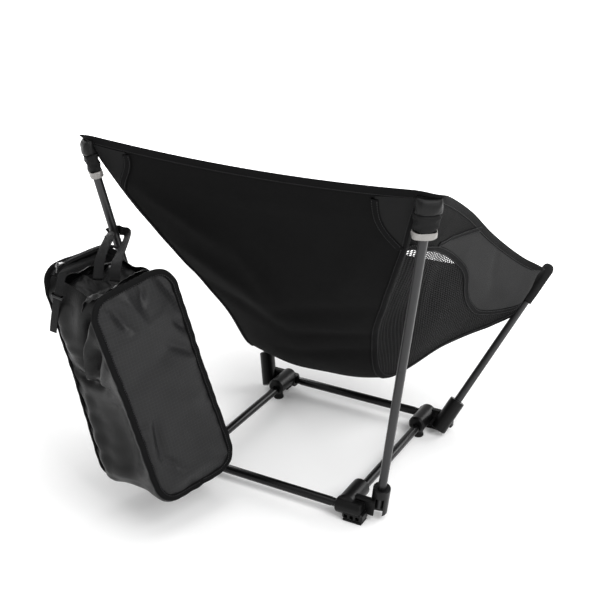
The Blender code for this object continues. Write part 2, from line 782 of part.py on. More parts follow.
def bag_trim():
    points, axis = handle_line()
    ribbon("bag_handle", points, axis, HANDLE_WIDTH, WEBBING, tape())
    place = bag_place()
    half_w, half_h, half_t = BAG_WIDTH / 2, BAG_LENGTH / 2, BAG_THICKNESS / 2
    hang = [place @ Vector((-half_t + 0.020, -half_w - 0.003 - 0.001 * k, half_h - 0.045 - 0.014 * k))
            for k in range(7)]
    ribbon("bag_strap", hang, place.to_3x3() @ Vector((1.0, 0.0, 0.0)), STRAP_WIDTH, WEBBING, tape())
    zip_x = -half_t + 0.014
    tape_low = (zip_x - 0.006, -ZIP_LENGTH / 2, half_h - 0.0095)
    tape_high = (zip_x + 0.006, ZIP_LENGTH / 2, half_h - 0.0080)
    zip_tape = block("bag_zip", tape_low, tape_high, place)
    add_part(zip_tape, "bag_zip", tape())
    slider = block("bag_zip_slider", (-0.0035, -0.0055, 0.0), (0.0035, 0.0055, 0.0040))
    slider.matrix_world = place @ Matrix.Translation((zip_x, -ZIP_LENGTH / 2 + 0.008, half_h - 0.0076))
    bevel_edges(slider, 0.0008)
    add_part(slider, "bag_zip_slider", moulding())


def centre_origin():
    """Moves every part and cutter from the rear cross tube's frame to the object's own."""
    for obj in list(parts.objects) + list(cutters.objects):
        obj.location.y -= ORIGIN_Y


def build():
    global parts, cutters
    clear_scene()
    parts = collection("backpacking_chair")
    cutters = collection("cutters")
    cross_tube("rear_tube", 0.0)
    cross_tube("front_tube", BASE_DEPTH)
    for side in (-1, 1):
        side_tube(side)
        rear_post(side)
        front_post(side)
        corner_patch(side)
        pull_tab(side)
        for end in ("rear", "front"):
            hub(side, end)
            foot_pad(side, end)
            foot_stud(side, end)
            pocket(side, end)
    sling_panels()
    hems()
    bag_shell()
    bag_trim()
    centre_origin()


build()
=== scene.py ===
"""Looks of the ultralight backpacking chair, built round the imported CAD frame.

Lengths are metres and angles are radians. +X is the sitter's right, +Y is forward and +Z is up. Places here
are measured from the ground below the rear cross tube's axis, and ORIGIN carries them into the CAD's frame.
"""

import math

import bpy
import numpy as np
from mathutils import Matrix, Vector, noise


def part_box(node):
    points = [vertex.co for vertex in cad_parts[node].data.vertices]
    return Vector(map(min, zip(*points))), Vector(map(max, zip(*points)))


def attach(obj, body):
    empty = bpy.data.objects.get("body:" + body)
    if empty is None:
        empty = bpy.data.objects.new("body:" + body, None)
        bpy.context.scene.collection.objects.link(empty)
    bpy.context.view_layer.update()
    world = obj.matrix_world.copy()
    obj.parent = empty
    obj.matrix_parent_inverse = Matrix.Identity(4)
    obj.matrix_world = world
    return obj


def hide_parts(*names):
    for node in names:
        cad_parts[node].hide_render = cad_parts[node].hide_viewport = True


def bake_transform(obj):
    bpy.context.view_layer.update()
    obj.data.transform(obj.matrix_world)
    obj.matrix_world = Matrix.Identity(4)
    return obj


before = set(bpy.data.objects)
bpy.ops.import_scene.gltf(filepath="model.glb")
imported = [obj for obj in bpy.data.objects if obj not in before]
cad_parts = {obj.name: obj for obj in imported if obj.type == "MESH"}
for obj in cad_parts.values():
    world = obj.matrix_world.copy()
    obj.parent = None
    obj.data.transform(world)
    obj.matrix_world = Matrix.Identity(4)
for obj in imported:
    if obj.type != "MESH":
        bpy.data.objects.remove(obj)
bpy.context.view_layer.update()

noise.seed_set(7)           # without it noise_vector starts somewhere else on every run

TAU = 2 * math.pi

tube_low, tube_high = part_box("rear_tube")
ORIGIN = np.array((0.0, (tube_low[1] + tube_high[1]) / 2, 0.0))

# Sling stations from the rear hem to the front hem, at these shares of its length
STATIONS = (0.0, 0.2, 0.4, 0.6, 0.8, 0.9, 0.955, 1.0)
CENTRE_LINE = (
    (0.0, -0.040, 0.532), (0.0, -0.006, 0.420), (0.0, 0.065, 0.270), (0.0, 0.150, 0.153),
    (0.0, 0.280, 0.168), (0.0, 0.360, 0.200), (0.0, 0.398, 0.226), (0.0, 0.430, 0.250),
)
SEAM_LINE = (
    (0.256, -0.056, 0.548), (0.201, 0.002, 0.420), (0.132, 0.087, 0.270), (0.120, 0.155, 0.166),
    (0.175, 0.270, 0.188), (0.222, 0.355, 0.197), (0.250, 0.396, 0.212), (0.226, 0.426, 0.257),
)
SIDE_LINE = (
    (0.282, -0.050, 0.546), (0.268, 0.030, 0.512), (0.262, 0.115, 0.467), (0.259, 0.205, 0.409),
    (0.260, 0.300, 0.351), (0.2655, 0.365, 0.312), (0.274, 0.398, 0.293), (0.284, 0.423, 0.277),
)
SIDE_BULGE = 0.010
CENTRE_LENGTH = 0.74        # of the cloth from hem to hem, for the creases
SIDE_LENGTH = 0.60
SLING_ROWS = 53             # rows of the simulated sling, hem to hem
CENTRE_COLUMNS = 33
SIDE_COLUMNS = 11
CLOTH_T = 0.0010
GRAVITY = 9.81
SETTLE_STEPS = 90           # steps of the hanging cloth, each of this many seconds
SETTLE_TIME = 0.01
SETTLE_SWEEPS = 10
SETTLE_PULL = 1.8
SETTLE_DRAG = 0.95
SETTLE_PLACES = 8           # rounding that stops the last bits of a sum from growing into other folds
SIDE_SETTLING = 0.18        # the tight side panels take this share of the middle's settling
SLING_SLACK = 0.014         # how much larger the cut cloth is than the space it spans
STIR, STIR_SCALE = 0.0025, 14.0         # unevenness that starts the folds, and how fine it is
KNIT_PITCH = (0.0046, 0.0042)
KNIT_STRAND = 0.0011
CORNER_BOW = 0.030
SLING_MIDDLE = (0.0, 0.16, 0.33)

# Posts, as in the CAD
REAR_MOUTH = (0.185, 0.018, 0.058)
REAR_LEAN = (0.166, -0.1405, 1.0)
REAR_TOP_Z = 0.532
FRONT_MOUTH = (0.186, 0.315, 0.058)
FRONT_LEAN = (0.453, 0.575, 1.0)
FRONT_TOP_Z = 0.272
POST_R = 0.0065
SIDES = ((-1, "left"), (1, "right"))

# Carry bag, as in the CAD: local X through its thickness, Y across its width, Z up its length
BAG_MIDDLE = (-0.151, -0.123, 0.224)
BAG_UP = (-0.202, -0.061, 0.977)
BAG_ACROSS = (0.331, 0.935, 0.126)
HANDLE_BEND_Z = 0.396
HANDLE_FACING = (0.44, -0.80, 0.41)     # the way the handle's flat arms and the loose strap face

FLOOR_SIZE = 8.0
ROOM_LIGHT = 0.62           # the room's own light on the chair
ROOM_SEEN = 1.02            # and how bright the camera sees it
LIT_POINT = (0.0, 0.15, 0.25)
LIGHTS = (                  # name, place, power and width
    ("key", (1.7, -0.6, 1.9), 34.0, 1.3), ("left", (-2.0, 1.5, 1.1), 14.0, 0.9),
    ("top", (0.1, 0.3, 2.4), 30.0, 1.8), ("rim", (1.2, 1.9, 1.0), 16.0, 1.0),
)
CAMERA_LENS = 66.94
CAMERA_SENSOR = 36.0
CAMERA_AT = (0.74887, -1.25282, 0.97994)
CAMERA_AZIMUTH = 28.916     # degrees
CAMERA_ELEVATION = 24.127


# ------------------------------------------------------------------ finishes


class Finish:
    """A Principled material whose colour, roughness and relief come from nodes."""

    def __init__(self, name, colour, roughness, metallic=0.0, sheen=0.0, specular=0.5):
        self.material = bpy.data.materials.new(name)
        self.material.use_nodes = True
        self.tree = self.material.node_tree
        self.shader = self.tree.nodes["Principled BSDF"]
        self.set(self.shader, {
            "Base Color": (*colour, 1.0), "Roughness": roughness, "Metallic": metallic,
            "Sheen Weight": sheen, "Sheen Roughness": 0.45, "Specular IOR Level": specular,
        })
        self.colour = None
        self.rough = None
        self.base = colour
        self.base_rough = roughness
        self.relief = None

    def set(self, node, values):
        for key, value in values.items():
            node.inputs[key].default_value = value

    def node(self, kind, values=None, **settings):
        made = self.tree.nodes.new("ShaderNode" + kind)
        for key, value in settings.items():
            setattr(made, key, value)
        self.set(made, values or {})
        return made

    def link(self, source, target):
        self.tree.links.new(source, target)

    def math(self, operation, first, second=0.0):
        made = self.node("Math", operation=operation)
        for slot, value in zip(made.inputs, (first, second)):
            if isinstance(value, (int, float)):
                slot.default_value = value
            else:
                self.link(value, slot)
        return made.outputs[0]

    def place(self):
        """Coordinates in metres."""
        return self.node("TexCoord").outputs["Object"]

    def flat(self):
        """Coordinates in metres along a cloth's own two directions."""
        parts = self.node("SeparateXYZ")
        self.link(self.node("TexCoord").outputs["UV"], parts.inputs[0])
        return parts.outputs

    def along(self, axis, squeeze=0.96):
        """Coordinates drawn out along one direction, for drawn and brushed metal."""
        source = self.place()
        direction = Vector(axis).normalized()
        dot = self.node("VectorMath", operation="DOT_PRODUCT")
        dot.inputs[1].default_value = direction
        self.link(source, dot.inputs[0])
        back = self.node("VectorMath", operation="SCALE")
        back.inputs[0].default_value = direction
        self.link(self.math("MULTIPLY", dot.outputs["Value"], squeeze), back.inputs["Scale"])
        less = self.node("VectorMath", operation="SUBTRACT")
        self.link(source, less.inputs[0])
        self.link(back.outputs[0], less.inputs[1])
        return less.outputs[0]

    def noise(self, vector, scale, detail=3.0):
        made = self.node("TexNoise", {"Scale": scale, "Detail": detail, "Roughness": 0.55})
        self.link(vector, made.inputs["Vector"])
        return made.outputs[0]

    def ramp(self, factor, low, high, **ends):
        """A value that goes from low to high as factor goes from 0 to 1, or between other ends."""
        made = self.node("MapRange", {"To Min": low, "To Max": high, **ends})
        self.link(factor, made.inputs["Value"])
        return made.outputs[0]

    def tint(self, factor, low, high):
        """Multiplies the colour by a ramp."""
        mix = self.node("VectorMath", operation="SCALE")
        if self.colour is None:
            mix.inputs[0].default_value = self.base
        else:
            self.link(self.colour, mix.inputs[0])
        self.link(self.ramp(factor, low, high), mix.inputs["Scale"])
        self.colour = mix.outputs[0]
        self.link(self.colour, self.shader.inputs["Base Color"])

    def gloss(self, factor, low, high):
        """Adds a ramp to the roughness."""
        self.rough = self.math("ADD", self.rough or self.base_rough, self.ramp(factor, low, high))
        self.link(self.rough, self.shader.inputs["Roughness"])

    def bump(self, height, distance, strength=1.0):
        made = self.node("Bump", {"Strength": strength, "Distance": distance})
        self.link(height, made.inputs["Height"])
        if self.relief is not None:
            self.link(self.relief, made.inputs["Normal"])
        self.relief = made.outputs[0]
        self.link(self.relief, self.shader.inputs["Normal"])

    def mottle(self, scale, amount):
        self.tint(self.noise(self.place(), scale, 4.0), 1 - amount, 1 + amount)

    def weave(self, pitch, depth, strength=0.6):
        """A plain weave: threads over and under in turn."""
        waves = [self.math("SINE", self.math("MULTIPLY", part, TAU / pitch)) for part in self.flat()[:2]]
        height = self.math("MULTIPLY", *waves)
        self.bump(height, depth, strength)
        self.tint(self.math("ADD", self.math("MULTIPLY", height, 0.5), 0.5), 0.86, 1.14)

    def ribs(self, pitch, depth, strength=0.7):
        """Fine ridges across a tape."""
        turn = self.math("MULTIPLY", self.flat()[1], TAU / pitch)
        height = self.math("ADD", self.math("MULTIPLY", self.math("SINE", turn), 0.5), 0.5)
        self.bump(height, depth, strength)
        self.tint(height, 0.80, 1.12)

    def ripstop(self, spacing, width, depth):
        """Raised reinforcing threads in a square grid."""
        lines = []
        for part in self.flat()[:2]:
            part = self.math("FRACT", self.math("DIVIDE", part, spacing))
            away = self.math("ABSOLUTE", self.math("SUBTRACT", part, 0.5))
            lines.append(self.math("LESS_THAN", away, width / spacing / 2))
        grid = self.math("MAXIMUM", *lines)
        self.bump(grid, depth, 0.5)
        self.tint(grid, 0.96, 1.35)

    def dull(self, scale, low, high):
        """Rougher and smoother patches."""
        self.gloss(self.noise(self.place(), scale), low, high)

    def grain(self, scale, depth, strength=0.5, vector=None):
        self.bump(self.noise(vector or self.place(), scale, 2.0), depth, strength)

    def worn_edges(self, radius, gain):
        """Lighter colour and a soft highlight where edges are rubbed."""
        bevel = self.node("Bevel", {"Radius": radius}, samples=4)
        shape = self.node("NewGeometry")
        dot = self.node("VectorMath", operation="DOT_PRODUCT")
        self.link(bevel.outputs[0], dot.inputs[0])
        self.link(shape.outputs["True Normal"], dot.inputs[1])
        edge = self.math("SUBTRACT", 1.0, dot.outputs["Value"])
        worn = self.math("MULTIPLY", edge, self.noise(self.place(), 60.0))
        self.tint(worn, 1.0, gain)
        self.relief = bevel.outputs[0]
        self.link(self.relief, self.shader.inputs["Normal"])


# Base colour, roughness, other settings and the steps that give each finish its detail
FINISHES = {
    "seat_cloth": ((0.0060, 0.0060, 0.0061), 0.72, {"sheen": 0.010, "specular": 0.03}, (
        ("weave", 0.0011, 0.00012), ("mottle", 7.0, 0.16), ("dull", 5.0, -0.08, 0.08),
        ("grain", 60.0, 0.0006, 0.35))),
    "wing_cloth": ((0.0265, 0.0265, 0.0268), 0.74, {"sheen": 0.015, "specular": 0.02}, (
        ("weave", 0.0011, 0.00012), ("mottle", 8.0, 0.12), ("grain", 60.0, 0.0006, 0.35))),
    "patch_cloth": ((0.0120, 0.0120, 0.0122), 0.58, {"sheen": 0.01, "specular": 0.04}, (
        ("weave", 0.0013, 0.00015), ("mottle", 14.0, 0.14))),
    "knit_mesh": ((0.0105, 0.0105, 0.0107), 0.55, {"sheen": 0.005, "specular": 0.05}, (
        ("grain", 2600.0, 0.00025, 0.6), ("mottle", 30.0, 0.20))),
    "binding_tape": ((0.0072, 0.0072, 0.0074), 0.60, {"sheen": 0.002, "specular": 0.02}, (
        ("ribs", 0.0017, 0.00022), ("mottle", 20.0, 0.15))),
    "webbing": ((0.0095, 0.0095, 0.0098), 0.58, {"sheen": 0.01, "specular": 0.08}, (
        ("weave", 0.0020, 0.00030, 0.8), ("mottle", 30.0, 0.15))),
    "thread": ((0.030, 0.030, 0.031), 0.50, {"sheen": 0.02, "specular": 0.12}, (("mottle", 200.0, 0.30),)),
    "reflective_tape": ((0.24, 0.232, 0.222), 0.36, {"metallic": 0.35}, (
        ("weave", 0.0012, 0.00010), ("mottle", 90.0, 0.16), ("dull", 120.0, -0.10, 0.14))),
    "rubber": ((0.010, 0.010, 0.010), 0.86, {"specular": 0.3}, (
        ("grain", 900.0, 0.00025, 0.6), ("mottle", 60.0, 0.25))),
    "slider_metal": ((0.20, 0.20, 0.20), 0.28, {"metallic": 0.9}, (("mottle", 200.0, 0.25),)),
}
SATIN = (("weave", 0.0008, 0.00006, 0.45), ("ripstop", 0.0050, 0.0006, 0.00008), ("mottle", 10.0, 0.12),
         ("dull", 24.0, -0.06, 0.08), ("grain", 120.0, 0.0004, 0.30))
PLASTIC = (("worn_edges", 0.0007, 3.2), ("grain", 1500.0, 0.00010, 0.45), ("dull", 70.0, -0.06, 0.10),
           ("mottle", 40.0, 0.12))
# gusset_cloth_painted_shade is the panels' satin at a third of bag_cloth's shade: painted shade for the bag's
# less lit sides
FINISHES.update({
    name: ((shade, shade, shade * 1.03), rough, {"sheen": 0.005, "specular": 0.17}, SATIN)
    for name, shade, rough in (("bag_cloth", 0.0150, 0.33), ("gusset_cloth_painted_shade", 0.0046, 0.34),
                               ("bag_lining", 0.0050, 0.42), ("pocket_satin", 0.0045, 0.40))
})
FINISHES.update({
    name: ((shade, shade, shade * 1.04), 0.33, {"specular": 0.20}, PLASTIC)
    for name, shade in (("moulded_plastic", 0.0026), ("zip_teeth", 0.022), ("keeper", 0.014))
})
made_finishes = {}


def finish(name):
    """The material of that name, made the first time it is asked for."""
    if name not in made_finishes:
        colour, rough, settings, steps = FINISHES[name]
        made = Finish(name, colour, rough, **settings)
        for step, *values in steps:
            getattr(made, step)(*values)
        made_finishes[name] = made.material
    return made_finishes[name]


def alloy_finish(name, axis, shade, rough):
    """Anodised drawn tube, with fine lines and rubbing marks along it."""
    made = Finish(name, (shade, shade, shade * 1.02), rough, metallic=0.72)
    drawn = made.along(axis)
    made.grain(1400.0, 0.00005, 0.35, drawn)
    made.tint(made.noise(drawn, 160.0, 4.0), 0.82, 1.20)
    made.gloss(made.noise(made.along(axis, 0.80), 45.0), -0.07, 0.10)
    return made.material


# ------------------------------------------------------------------- shapes


def unit(vectors):
    length = np.linalg.norm(vectors, axis=-1, keepdims=True)
    return vectors / np.maximum(length, 1e-12)


def turned(vectors, guide):
    """The vectors, all turned round if as a whole they point away from the guide."""
    return -vectors if np.sum(vectors * guide) < 0 else vectors


def run_along(points):
    """Distance along a run of points, at each of them."""
    return np.concatenate([[0.0], np.cumsum(np.linalg.norm(np.diff(points, axis=0), axis=1))])


def at_marks(marks, run, values):
    """Values known along a run, at other marks on it."""
    return np.stack([np.interp(marks, run, column) for column in values.T], 1)


def tangents(points, closed=False):
    return np.roll(points, -1, 0) - np.roll(points, 1, 0) if closed else np.gradient(points, axis=0)


def middles(grid):
    """A value for each cell of a grid, halfway between two of its corners."""
    return (grid[1:, 1:] + grid[:-1, :-1]) / 2


def patch(u_range, v_range, columns, rows):
    """Shares for a grid of points, as two arrays."""
    return np.meshgrid(np.linspace(*u_range, columns), np.linspace(*v_range, rows))


def squircle(steps, power):
    """Points round a circle that is drawn out towards its corners, as two columns."""
    turn = np.linspace(0, TAU, steps, endpoint=False)
    round_ = np.stack([np.cos(turn), np.sin(turn)])
    return turn, np.sign(round_) * np.abs(round_) ** power


def sections(points, *moves):
    """Copies of a cross-section at every point, from pairs of direction and amount."""
    return points[:, None] + sum(way[:, None] * amount[None, :, None] for way, amount in moves)


def noise_at(x, y, z, kind=noise.noise):
    """Smooth noise at every point of the arrays."""
    x, y, z = np.broadcast_arrays(x, y, z)
    return np.array([kind(Vector(point)) for point in zip(x.ravel(), y.ravel(), z.ravel())]).reshape(x.shape)


class Shape:
    """Quads and polygons with flat coordinates and a normal at each corner, not yet an object."""

    def __init__(self):
        self.verts = np.zeros((0, 3))
        self.uvs = np.zeros((0, 2))
        self.faces = []
        self.normals = []

    def add(self, verts, faces, normals, uvs):
        start = len(self.verts)
        self.verts = np.vstack([self.verts, verts])
        self.uvs = np.vstack([self.uvs, uvs])
        self.faces += [tuple(int(v) + start for v in face) for face in faces]
        self.normals += list(normals)
        return self

    def merge(self, other):
        return self.add(other.verts, other.faces, other.normals, other.uvs)

    def pick(self, chosen):
        """The part of the shape made of some of its faces."""
        part = Shape()
        faces = [self.faces[k] for k in chosen]
        used = sorted({v for face in faces for v in face})
        place = {v: k for k, v in enumerate(used)}
        part.add(self.verts[used], [tuple(place[v] for v in face) for face in faces],
                 [self.normals[k] for k in chosen], self.uvs[used])
        return part

    def object(self, name, finish_name):
        mesh = bpy.data.meshes.new(name)
        mesh.from_pydata((self.verts + ORIGIN).tolist(), [], self.faces)
        mesh.polygons.foreach_set("use_smooth", np.ones(len(self.faces), bool))
        layer = mesh.uv_layers.new(name="flat")
        corner = np.zeros(len(mesh.loops), np.int32)
        mesh.loops.foreach_get("vertex_index", corner)
        layer.data.foreach_set("uv", self.uvs[corner].astype(np.float32).ravel())
        mesh.normals_split_custom_set(np.vstack(self.normals).tolist())
        mesh.materials.append(finish(finish_name))
        obj = bpy.data.objects.new(name, mesh)
        bpy.context.scene.collection.objects.link(obj)
        return obj


def carry(obj, body, slot, *nodes):
    """The object rides a body and stands in for CAD nodes, which are hidden. The slot argument is not used.
    """
    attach(obj, body)
    if nodes:
        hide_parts(*nodes)


def flat_coords(points):
    """Coordinates of a grid of points, in metres along its rows and columns."""
    rows, columns = points.shape[:2]
    across = np.linalg.norm(np.diff(points, axis=1), axis=2)
    down = np.linalg.norm(np.diff(points, axis=0), axis=2)
    u = np.zeros((rows, columns))
    u[:, 1:] = np.cumsum(across, axis=1)
    u -= u[:, [columns // 2]]
    v = np.zeros((rows, columns))
    v[1:, :] = np.cumsum(down.mean(axis=1))[:, None]
    return np.stack([u, v], -1)


def thick_cells(points, normals, keep, thickness, flat=None):
    """A thin closed sheet made of the kept cells of a grid of points."""
    rows, columns = points.shape[:2]
    count = rows * columns
    flat = flat_coords(points) if flat is None else flat
    facing = normals.reshape(-1, 3)
    top, low = (points.reshape(-1, 3) + facing * side * thickness / 2 for side in (1, -1))
    verts = np.vstack([top, low])
    index = np.arange(count).reshape(rows, columns)
    i, j = np.nonzero(keep)
    a, b, c, d = index[i, j], index[i, j + 1], index[i + 1, j + 1], index[i + 1, j]
    middle = len(i) // 2
    sides = np.cross(top[b[middle]] - top[a[middle]], top[d[middle]] - top[a[middle]])
    if sides @ facing[a[middle]] < 0:
        a, b, c, d = d, c, b, a
    quads = np.stack([a, b, c, d], 1)
    edges = np.concatenate([quads[:, [k, (k + 1) % 4]] for k in range(4)])
    key = edges.min(axis=1) * count + edges.max(axis=1)
    _, first, times = np.unique(key, return_index=True, return_counts=True)
    rim = edges[first[times == 1]]
    rims = np.stack([rim[:, 1], rim[:, 0], rim[:, 0] + count, rim[:, 1] + count], 1)
    outward = unit(np.cross(verts[rims[:, 1]] - verts[rims[:, 0]], verts[rims[:, 3]] - verts[rims[:, 0]]))
    under = quads[:, ::-1]
    faces = np.concatenate([quads, under + count, rims])
    corner = np.concatenate([facing[quads], -facing[under], np.repeat(outward[:, None, :], 4, 1)])
    whole = Shape().add(verts, faces, corner, np.vstack([flat.reshape(-1, 2)] * 2))
    return whole.pick(range(len(whole.faces)))


def ring_skin(rings, closed=False):
    """A closed skin over cross-sections that are loops of points. Open runs get flat ends."""
    rings = np.asarray(rings, float)
    count, size = rings.shape[:2]
    around = np.roll(rings, -1, 1) - np.roll(rings, 1, 1)
    normals = unit(np.cross(around, tangents(rings, closed)))
    flip = np.sum(normals * (rings - rings.mean(axis=1, keepdims=True))) < 0
    if flip:
        normals = -normals
    index = np.arange(count * size).reshape(count, size)
    ahead = np.roll(index, -1, 0) if closed else index[1:]
    here = index if closed else index[:-1]
    quads = np.stack([here, np.roll(here, -1, 1), np.roll(ahead, -1, 1), ahead], -1).reshape(-1, 4)
    if flip:
        quads = quads[:, ::-1]
    step = np.linalg.norm(np.diff(rings, axis=0), axis=2).mean(axis=1)
    girth = np.linalg.norm(np.diff(rings, axis=1), axis=2).mean(axis=0)
    run, reach = (np.concatenate([[0.0], np.cumsum(steps)]) for steps in (step, girth))
    uvs = np.stack(np.broadcast_arrays(reach[None, :], run[:, None]), -1).reshape(-1, 2)
    shape = Shape().add(rings.reshape(-1, 3), quads, normals.reshape(-1, 3)[quads], uvs)
    if not closed:
        for k, turn in ((0, 1), (count - 1, -1)):
            outward = unit(rings[k].mean(0) - rings[k + turn].mean(0))
            shape.faces.append(tuple(int(v) for v in index[k][::-turn if flip else turn]))
            shape.normals.append(np.repeat(outward[None, :], size, 0))
    return shape


class Sheet:
    """A smooth surface through a grid of points, with u across the columns and v down the rows."""

    def __init__(self, grid, sign=1.0, cyclic=False):
        self.grid = grid
        self.sign = sign
        self.cyclic = cyclic
        rows = self.lengthened(grid, 0)
        if cyclic:
            self.padded = np.concatenate([rows[:, -1:], rows, rows[:, :2]], 1)
        else:
            self.padded = self.lengthened(rows, 1)

    @staticmethod
    def lengthened(grid, axis):
        """The grid with one more row, or column, at each end."""
        grid = np.swapaxes(grid, 0, axis)
        grid = np.concatenate([2 * grid[:1] - grid[1:2], grid, 2 * grid[-1:] - grid[-2:-1]])
        return np.swapaxes(grid, 0, axis)

    @staticmethod
    def spread(t):
        return np.stack([-0.5 * t + t * t - 0.5 * t ** 3, 1 - 2.5 * t * t + 1.5 * t ** 3,
                         0.5 * t + 2 * t * t - 1.5 * t ** 3, -0.5 * t * t + 0.5 * t ** 3], -1)

    def at(self, u, v, lift=0.0):
        u, v = np.broadcast_arrays(np.asarray(u, float), np.asarray(v, float))
        rows, columns = self.grid.shape[:2]
        spans = columns if self.cyclic else columns - 1
        x = (u % 1.0) * spans if self.cyclic else u * spans
        y = v * (rows - 1)
        i = np.clip(np.floor(y), 0, rows - 2).astype(int)
        j = np.clip(np.floor(x), 0, spans - 1).astype(int)
        wide = self.spread(x - j)
        tall = self.spread(y - i)
        point = np.zeros(u.shape + (3,))
        for a in range(4):
            for b in range(4):
                point += self.padded[i + a, j + b] * (tall[..., a] * wide[..., b])[..., None]
        if np.any(lift):
            point = point + self.normal(u, v) * np.asarray(lift)[..., None]
        return point

    def slopes(self, u, v, step=1e-3):
        across = (self.at(u + step, v) - self.at(u - step, v)) / (2 * step)
        down = (self.at(u, v + step) - self.at(u, v - step)) / (2 * step)
        return across, down

    def normal(self, u, v):
        return unit(np.cross(*self.slopes(u, v))) * self.sign

    def both(self, u, v, lift=0.0):
        """Points of the surface and the normals there."""
        return self.at(u, v, lift), self.normal(u, v)


def settle(points, held, grow, cap, cyclic=False):
    """Lets a grid of cloth hang from its held points, and returns where it comes to rest.

    The threads are springs along, across and diagonally, with weak ones over two cells against
    bending. Working through them in one fixed order gives the same folds on every run. Grow is how
    much larger the cut cloth is than the space it spans, and no point moves more than cap.
    """
    rows, columns = points.shape[:2]
    index = np.arange(rows * columns).reshape(rows, columns)
    if cyclic:
        index = np.concatenate([index, index[:, :2]], 1)
    springs = (
        (index[:-1, :columns], index[1:, :columns], 1.0), (index[:, :-1], index[:, 1:], 1.0),
        (index[:-1, :-1], index[1:, 1:], 0.5), (index[:-1, 1:], index[1:, :-1], 0.5),
        (index[:-2, :columns], index[2:, :columns], 0.25), (index[:, :-2], index[:, 2:], 0.25),
    )
    first = np.concatenate([one.ravel() for one, _, _ in springs])
    second = np.concatenate([other.ravel() for _, other, _ in springs])
    stiff = np.concatenate([np.full(one.size, value) for one, _, value in springs])
    start = np.round(points.reshape(-1, 3), SETTLE_PLACES)
    count = len(start)
    rest = np.linalg.norm(start[second] - start[first], axis=1) * (1 + grow)
    weight = np.bincount(first, stiff, count) + np.bincount(second, stiff, count)
    free = (~held.ravel() / weight * SETTLE_PULL)[:, None]
    here, speed = start.copy(), np.zeros(start.shape)
    for _ in range(SETTLE_STEPS):
        speed *= SETTLE_DRAG
        speed[:, 2] -= GRAVITY * SETTLE_TIME
        there = here + speed * SETTLE_TIME * (free > 0)
        for _ in range(SETTLE_SWEEPS):
            gap = there[second] - there[first]
            size = np.maximum(np.linalg.norm(gap, axis=1), 1e-9)
            pull = gap * (stiff * (1 - rest / size) / 2)[:, None]
            there += free * np.stack([np.bincount(first, part, count) - np.bincount(second, part, count)
                                      for part in pull.T], 1)
        there = np.round(there, SETTLE_PLACES)
        here, speed = there, (there - here) / SETTLE_TIME
    shift = here.reshape(points.shape) - points
    size = np.linalg.norm(shift, axis=-1, keepdims=True)
    return points + shift * np.tanh(size / cap) * cap / np.maximum(size, 1e-9)


# -------------------------------------------------------------------- sling


def spline(points, share):
    """A smooth curve through the stations, for share from 0 to 1."""
    points = np.asarray(points, float)
    spans = len(points) - 1
    place = np.interp(share, STATIONS, range(len(STATIONS)))
    index = min(int(place), spans - 1)
    t = place - index
    p1, p2 = points[index], points[index + 1]
    p0 = points[index - 1] if index > 0 else p1 * 2 - p2
    p3 = points[index + 2] if index + 2 <= spans else p2 * 2 - p1
    return 0.5 * (2 * p1 + (p2 - p0) * t + (2 * p0 - 5 * p1 + 4 * p2 - p3) * t * t
                  + (3 * p1 - p0 - 3 * p2 + p3) * t ** 3)


def centre_surface(across, along):
    middle, seam = spline(CENTRE_LINE, along), spline(SEAM_LINE, along)
    bend = across * across
    return np.array((seam[0] * across, middle[1] + (seam[1] - middle[1]) * bend,
                     middle[2] + (seam[2] - middle[2]) * bend))


def side_surface(side, up, along):
    seam, hem = spline(SEAM_LINE, along), spline(SIDE_LINE, along)
    bulge = SIDE_BULGE * 4 * up * (1 - up) * min(1.0, np.linalg.norm(hem - seam) / 0.15)
    point = seam + (hem - seam) * up + np.array((bulge, 0.0, -bulge * 0.4))
    return point * np.array((side, 1.0, 1.0))


# Soft creases seen in the middle panel: from (across, along) to (across, along), width and height
CREASES = (
    ((-0.10, 0.37), (0.96, 0.31), 0.014, -0.0035),
    ((0.00, 0.43), (0.98, 0.39), 0.011, -0.0030),
    ((-0.30, 0.50), (0.98, 0.45), 0.012, -0.0030),
    ((-0.98, 0.33), (-0.10, 0.42), 0.016, -0.0030),
    ((-0.95, 0.24), (-0.20, 0.36), 0.020, 0.0030),
    ((0.80, 0.13), (0.62, 0.30), 0.022, 0.0040),
    ((-0.86, 0.09), (-0.30, 0.24), 0.022, 0.0035),
    ((-0.25, 0.20), (-0.08, 0.34), 0.018, 0.0030),
    ((0.70, 0.07), (-0.60, 0.07), 0.020, 0.0022),
    ((-0.90, 0.62), (0.20, 0.60), 0.016, -0.0030),
    ((0.92, 0.66), (-0.30, 0.70), 0.018, -0.0025),
    ((0.95, 0.93), (0.20, 0.76), 0.022, 0.0040),
    ((-0.95, 0.93), (-0.25, 0.78), 0.022, 0.0040),
)
SIDE_CREASES = (
    ((0.80, 0.52), (0.55, 0.97), 0.016, 0.0035),
    ((0.95, 0.70), (0.30, 0.90), 0.014, -0.0025),
    ((0.55, 0.34), (0.30, 0.55), 0.018, 0.0025),
)


def crease_field(u, v, wide, tall, creases):
    """Height of the creases at (u, v), where wide and tall turn shares into metres."""
    total = np.zeros(np.broadcast(u, v).shape)
    for (u0, v0), (u1, v1), width, height in creases:
        x, y = u * wide, v * tall
        ax, ay, bx, by = u0 * wide, v0 * tall, u1 * wide, v1 * tall
        dx, dy = bx - ax, by - ay
        length = np.maximum(dx * dx + dy * dy, 1e-9)
        t = np.clip(((x - ax) * dx + (y - ay) * dy) / length, 0.0, 1.0)
        away = (x - ax - dx * t) ** 2 + (y - ay - dy * t) ** 2
        fade = np.sin(math.pi * np.clip(t * 0.86 + 0.07, 0, 1)) ** 0.6
        total += height * fade * np.exp(-away / width ** 2)
    return total


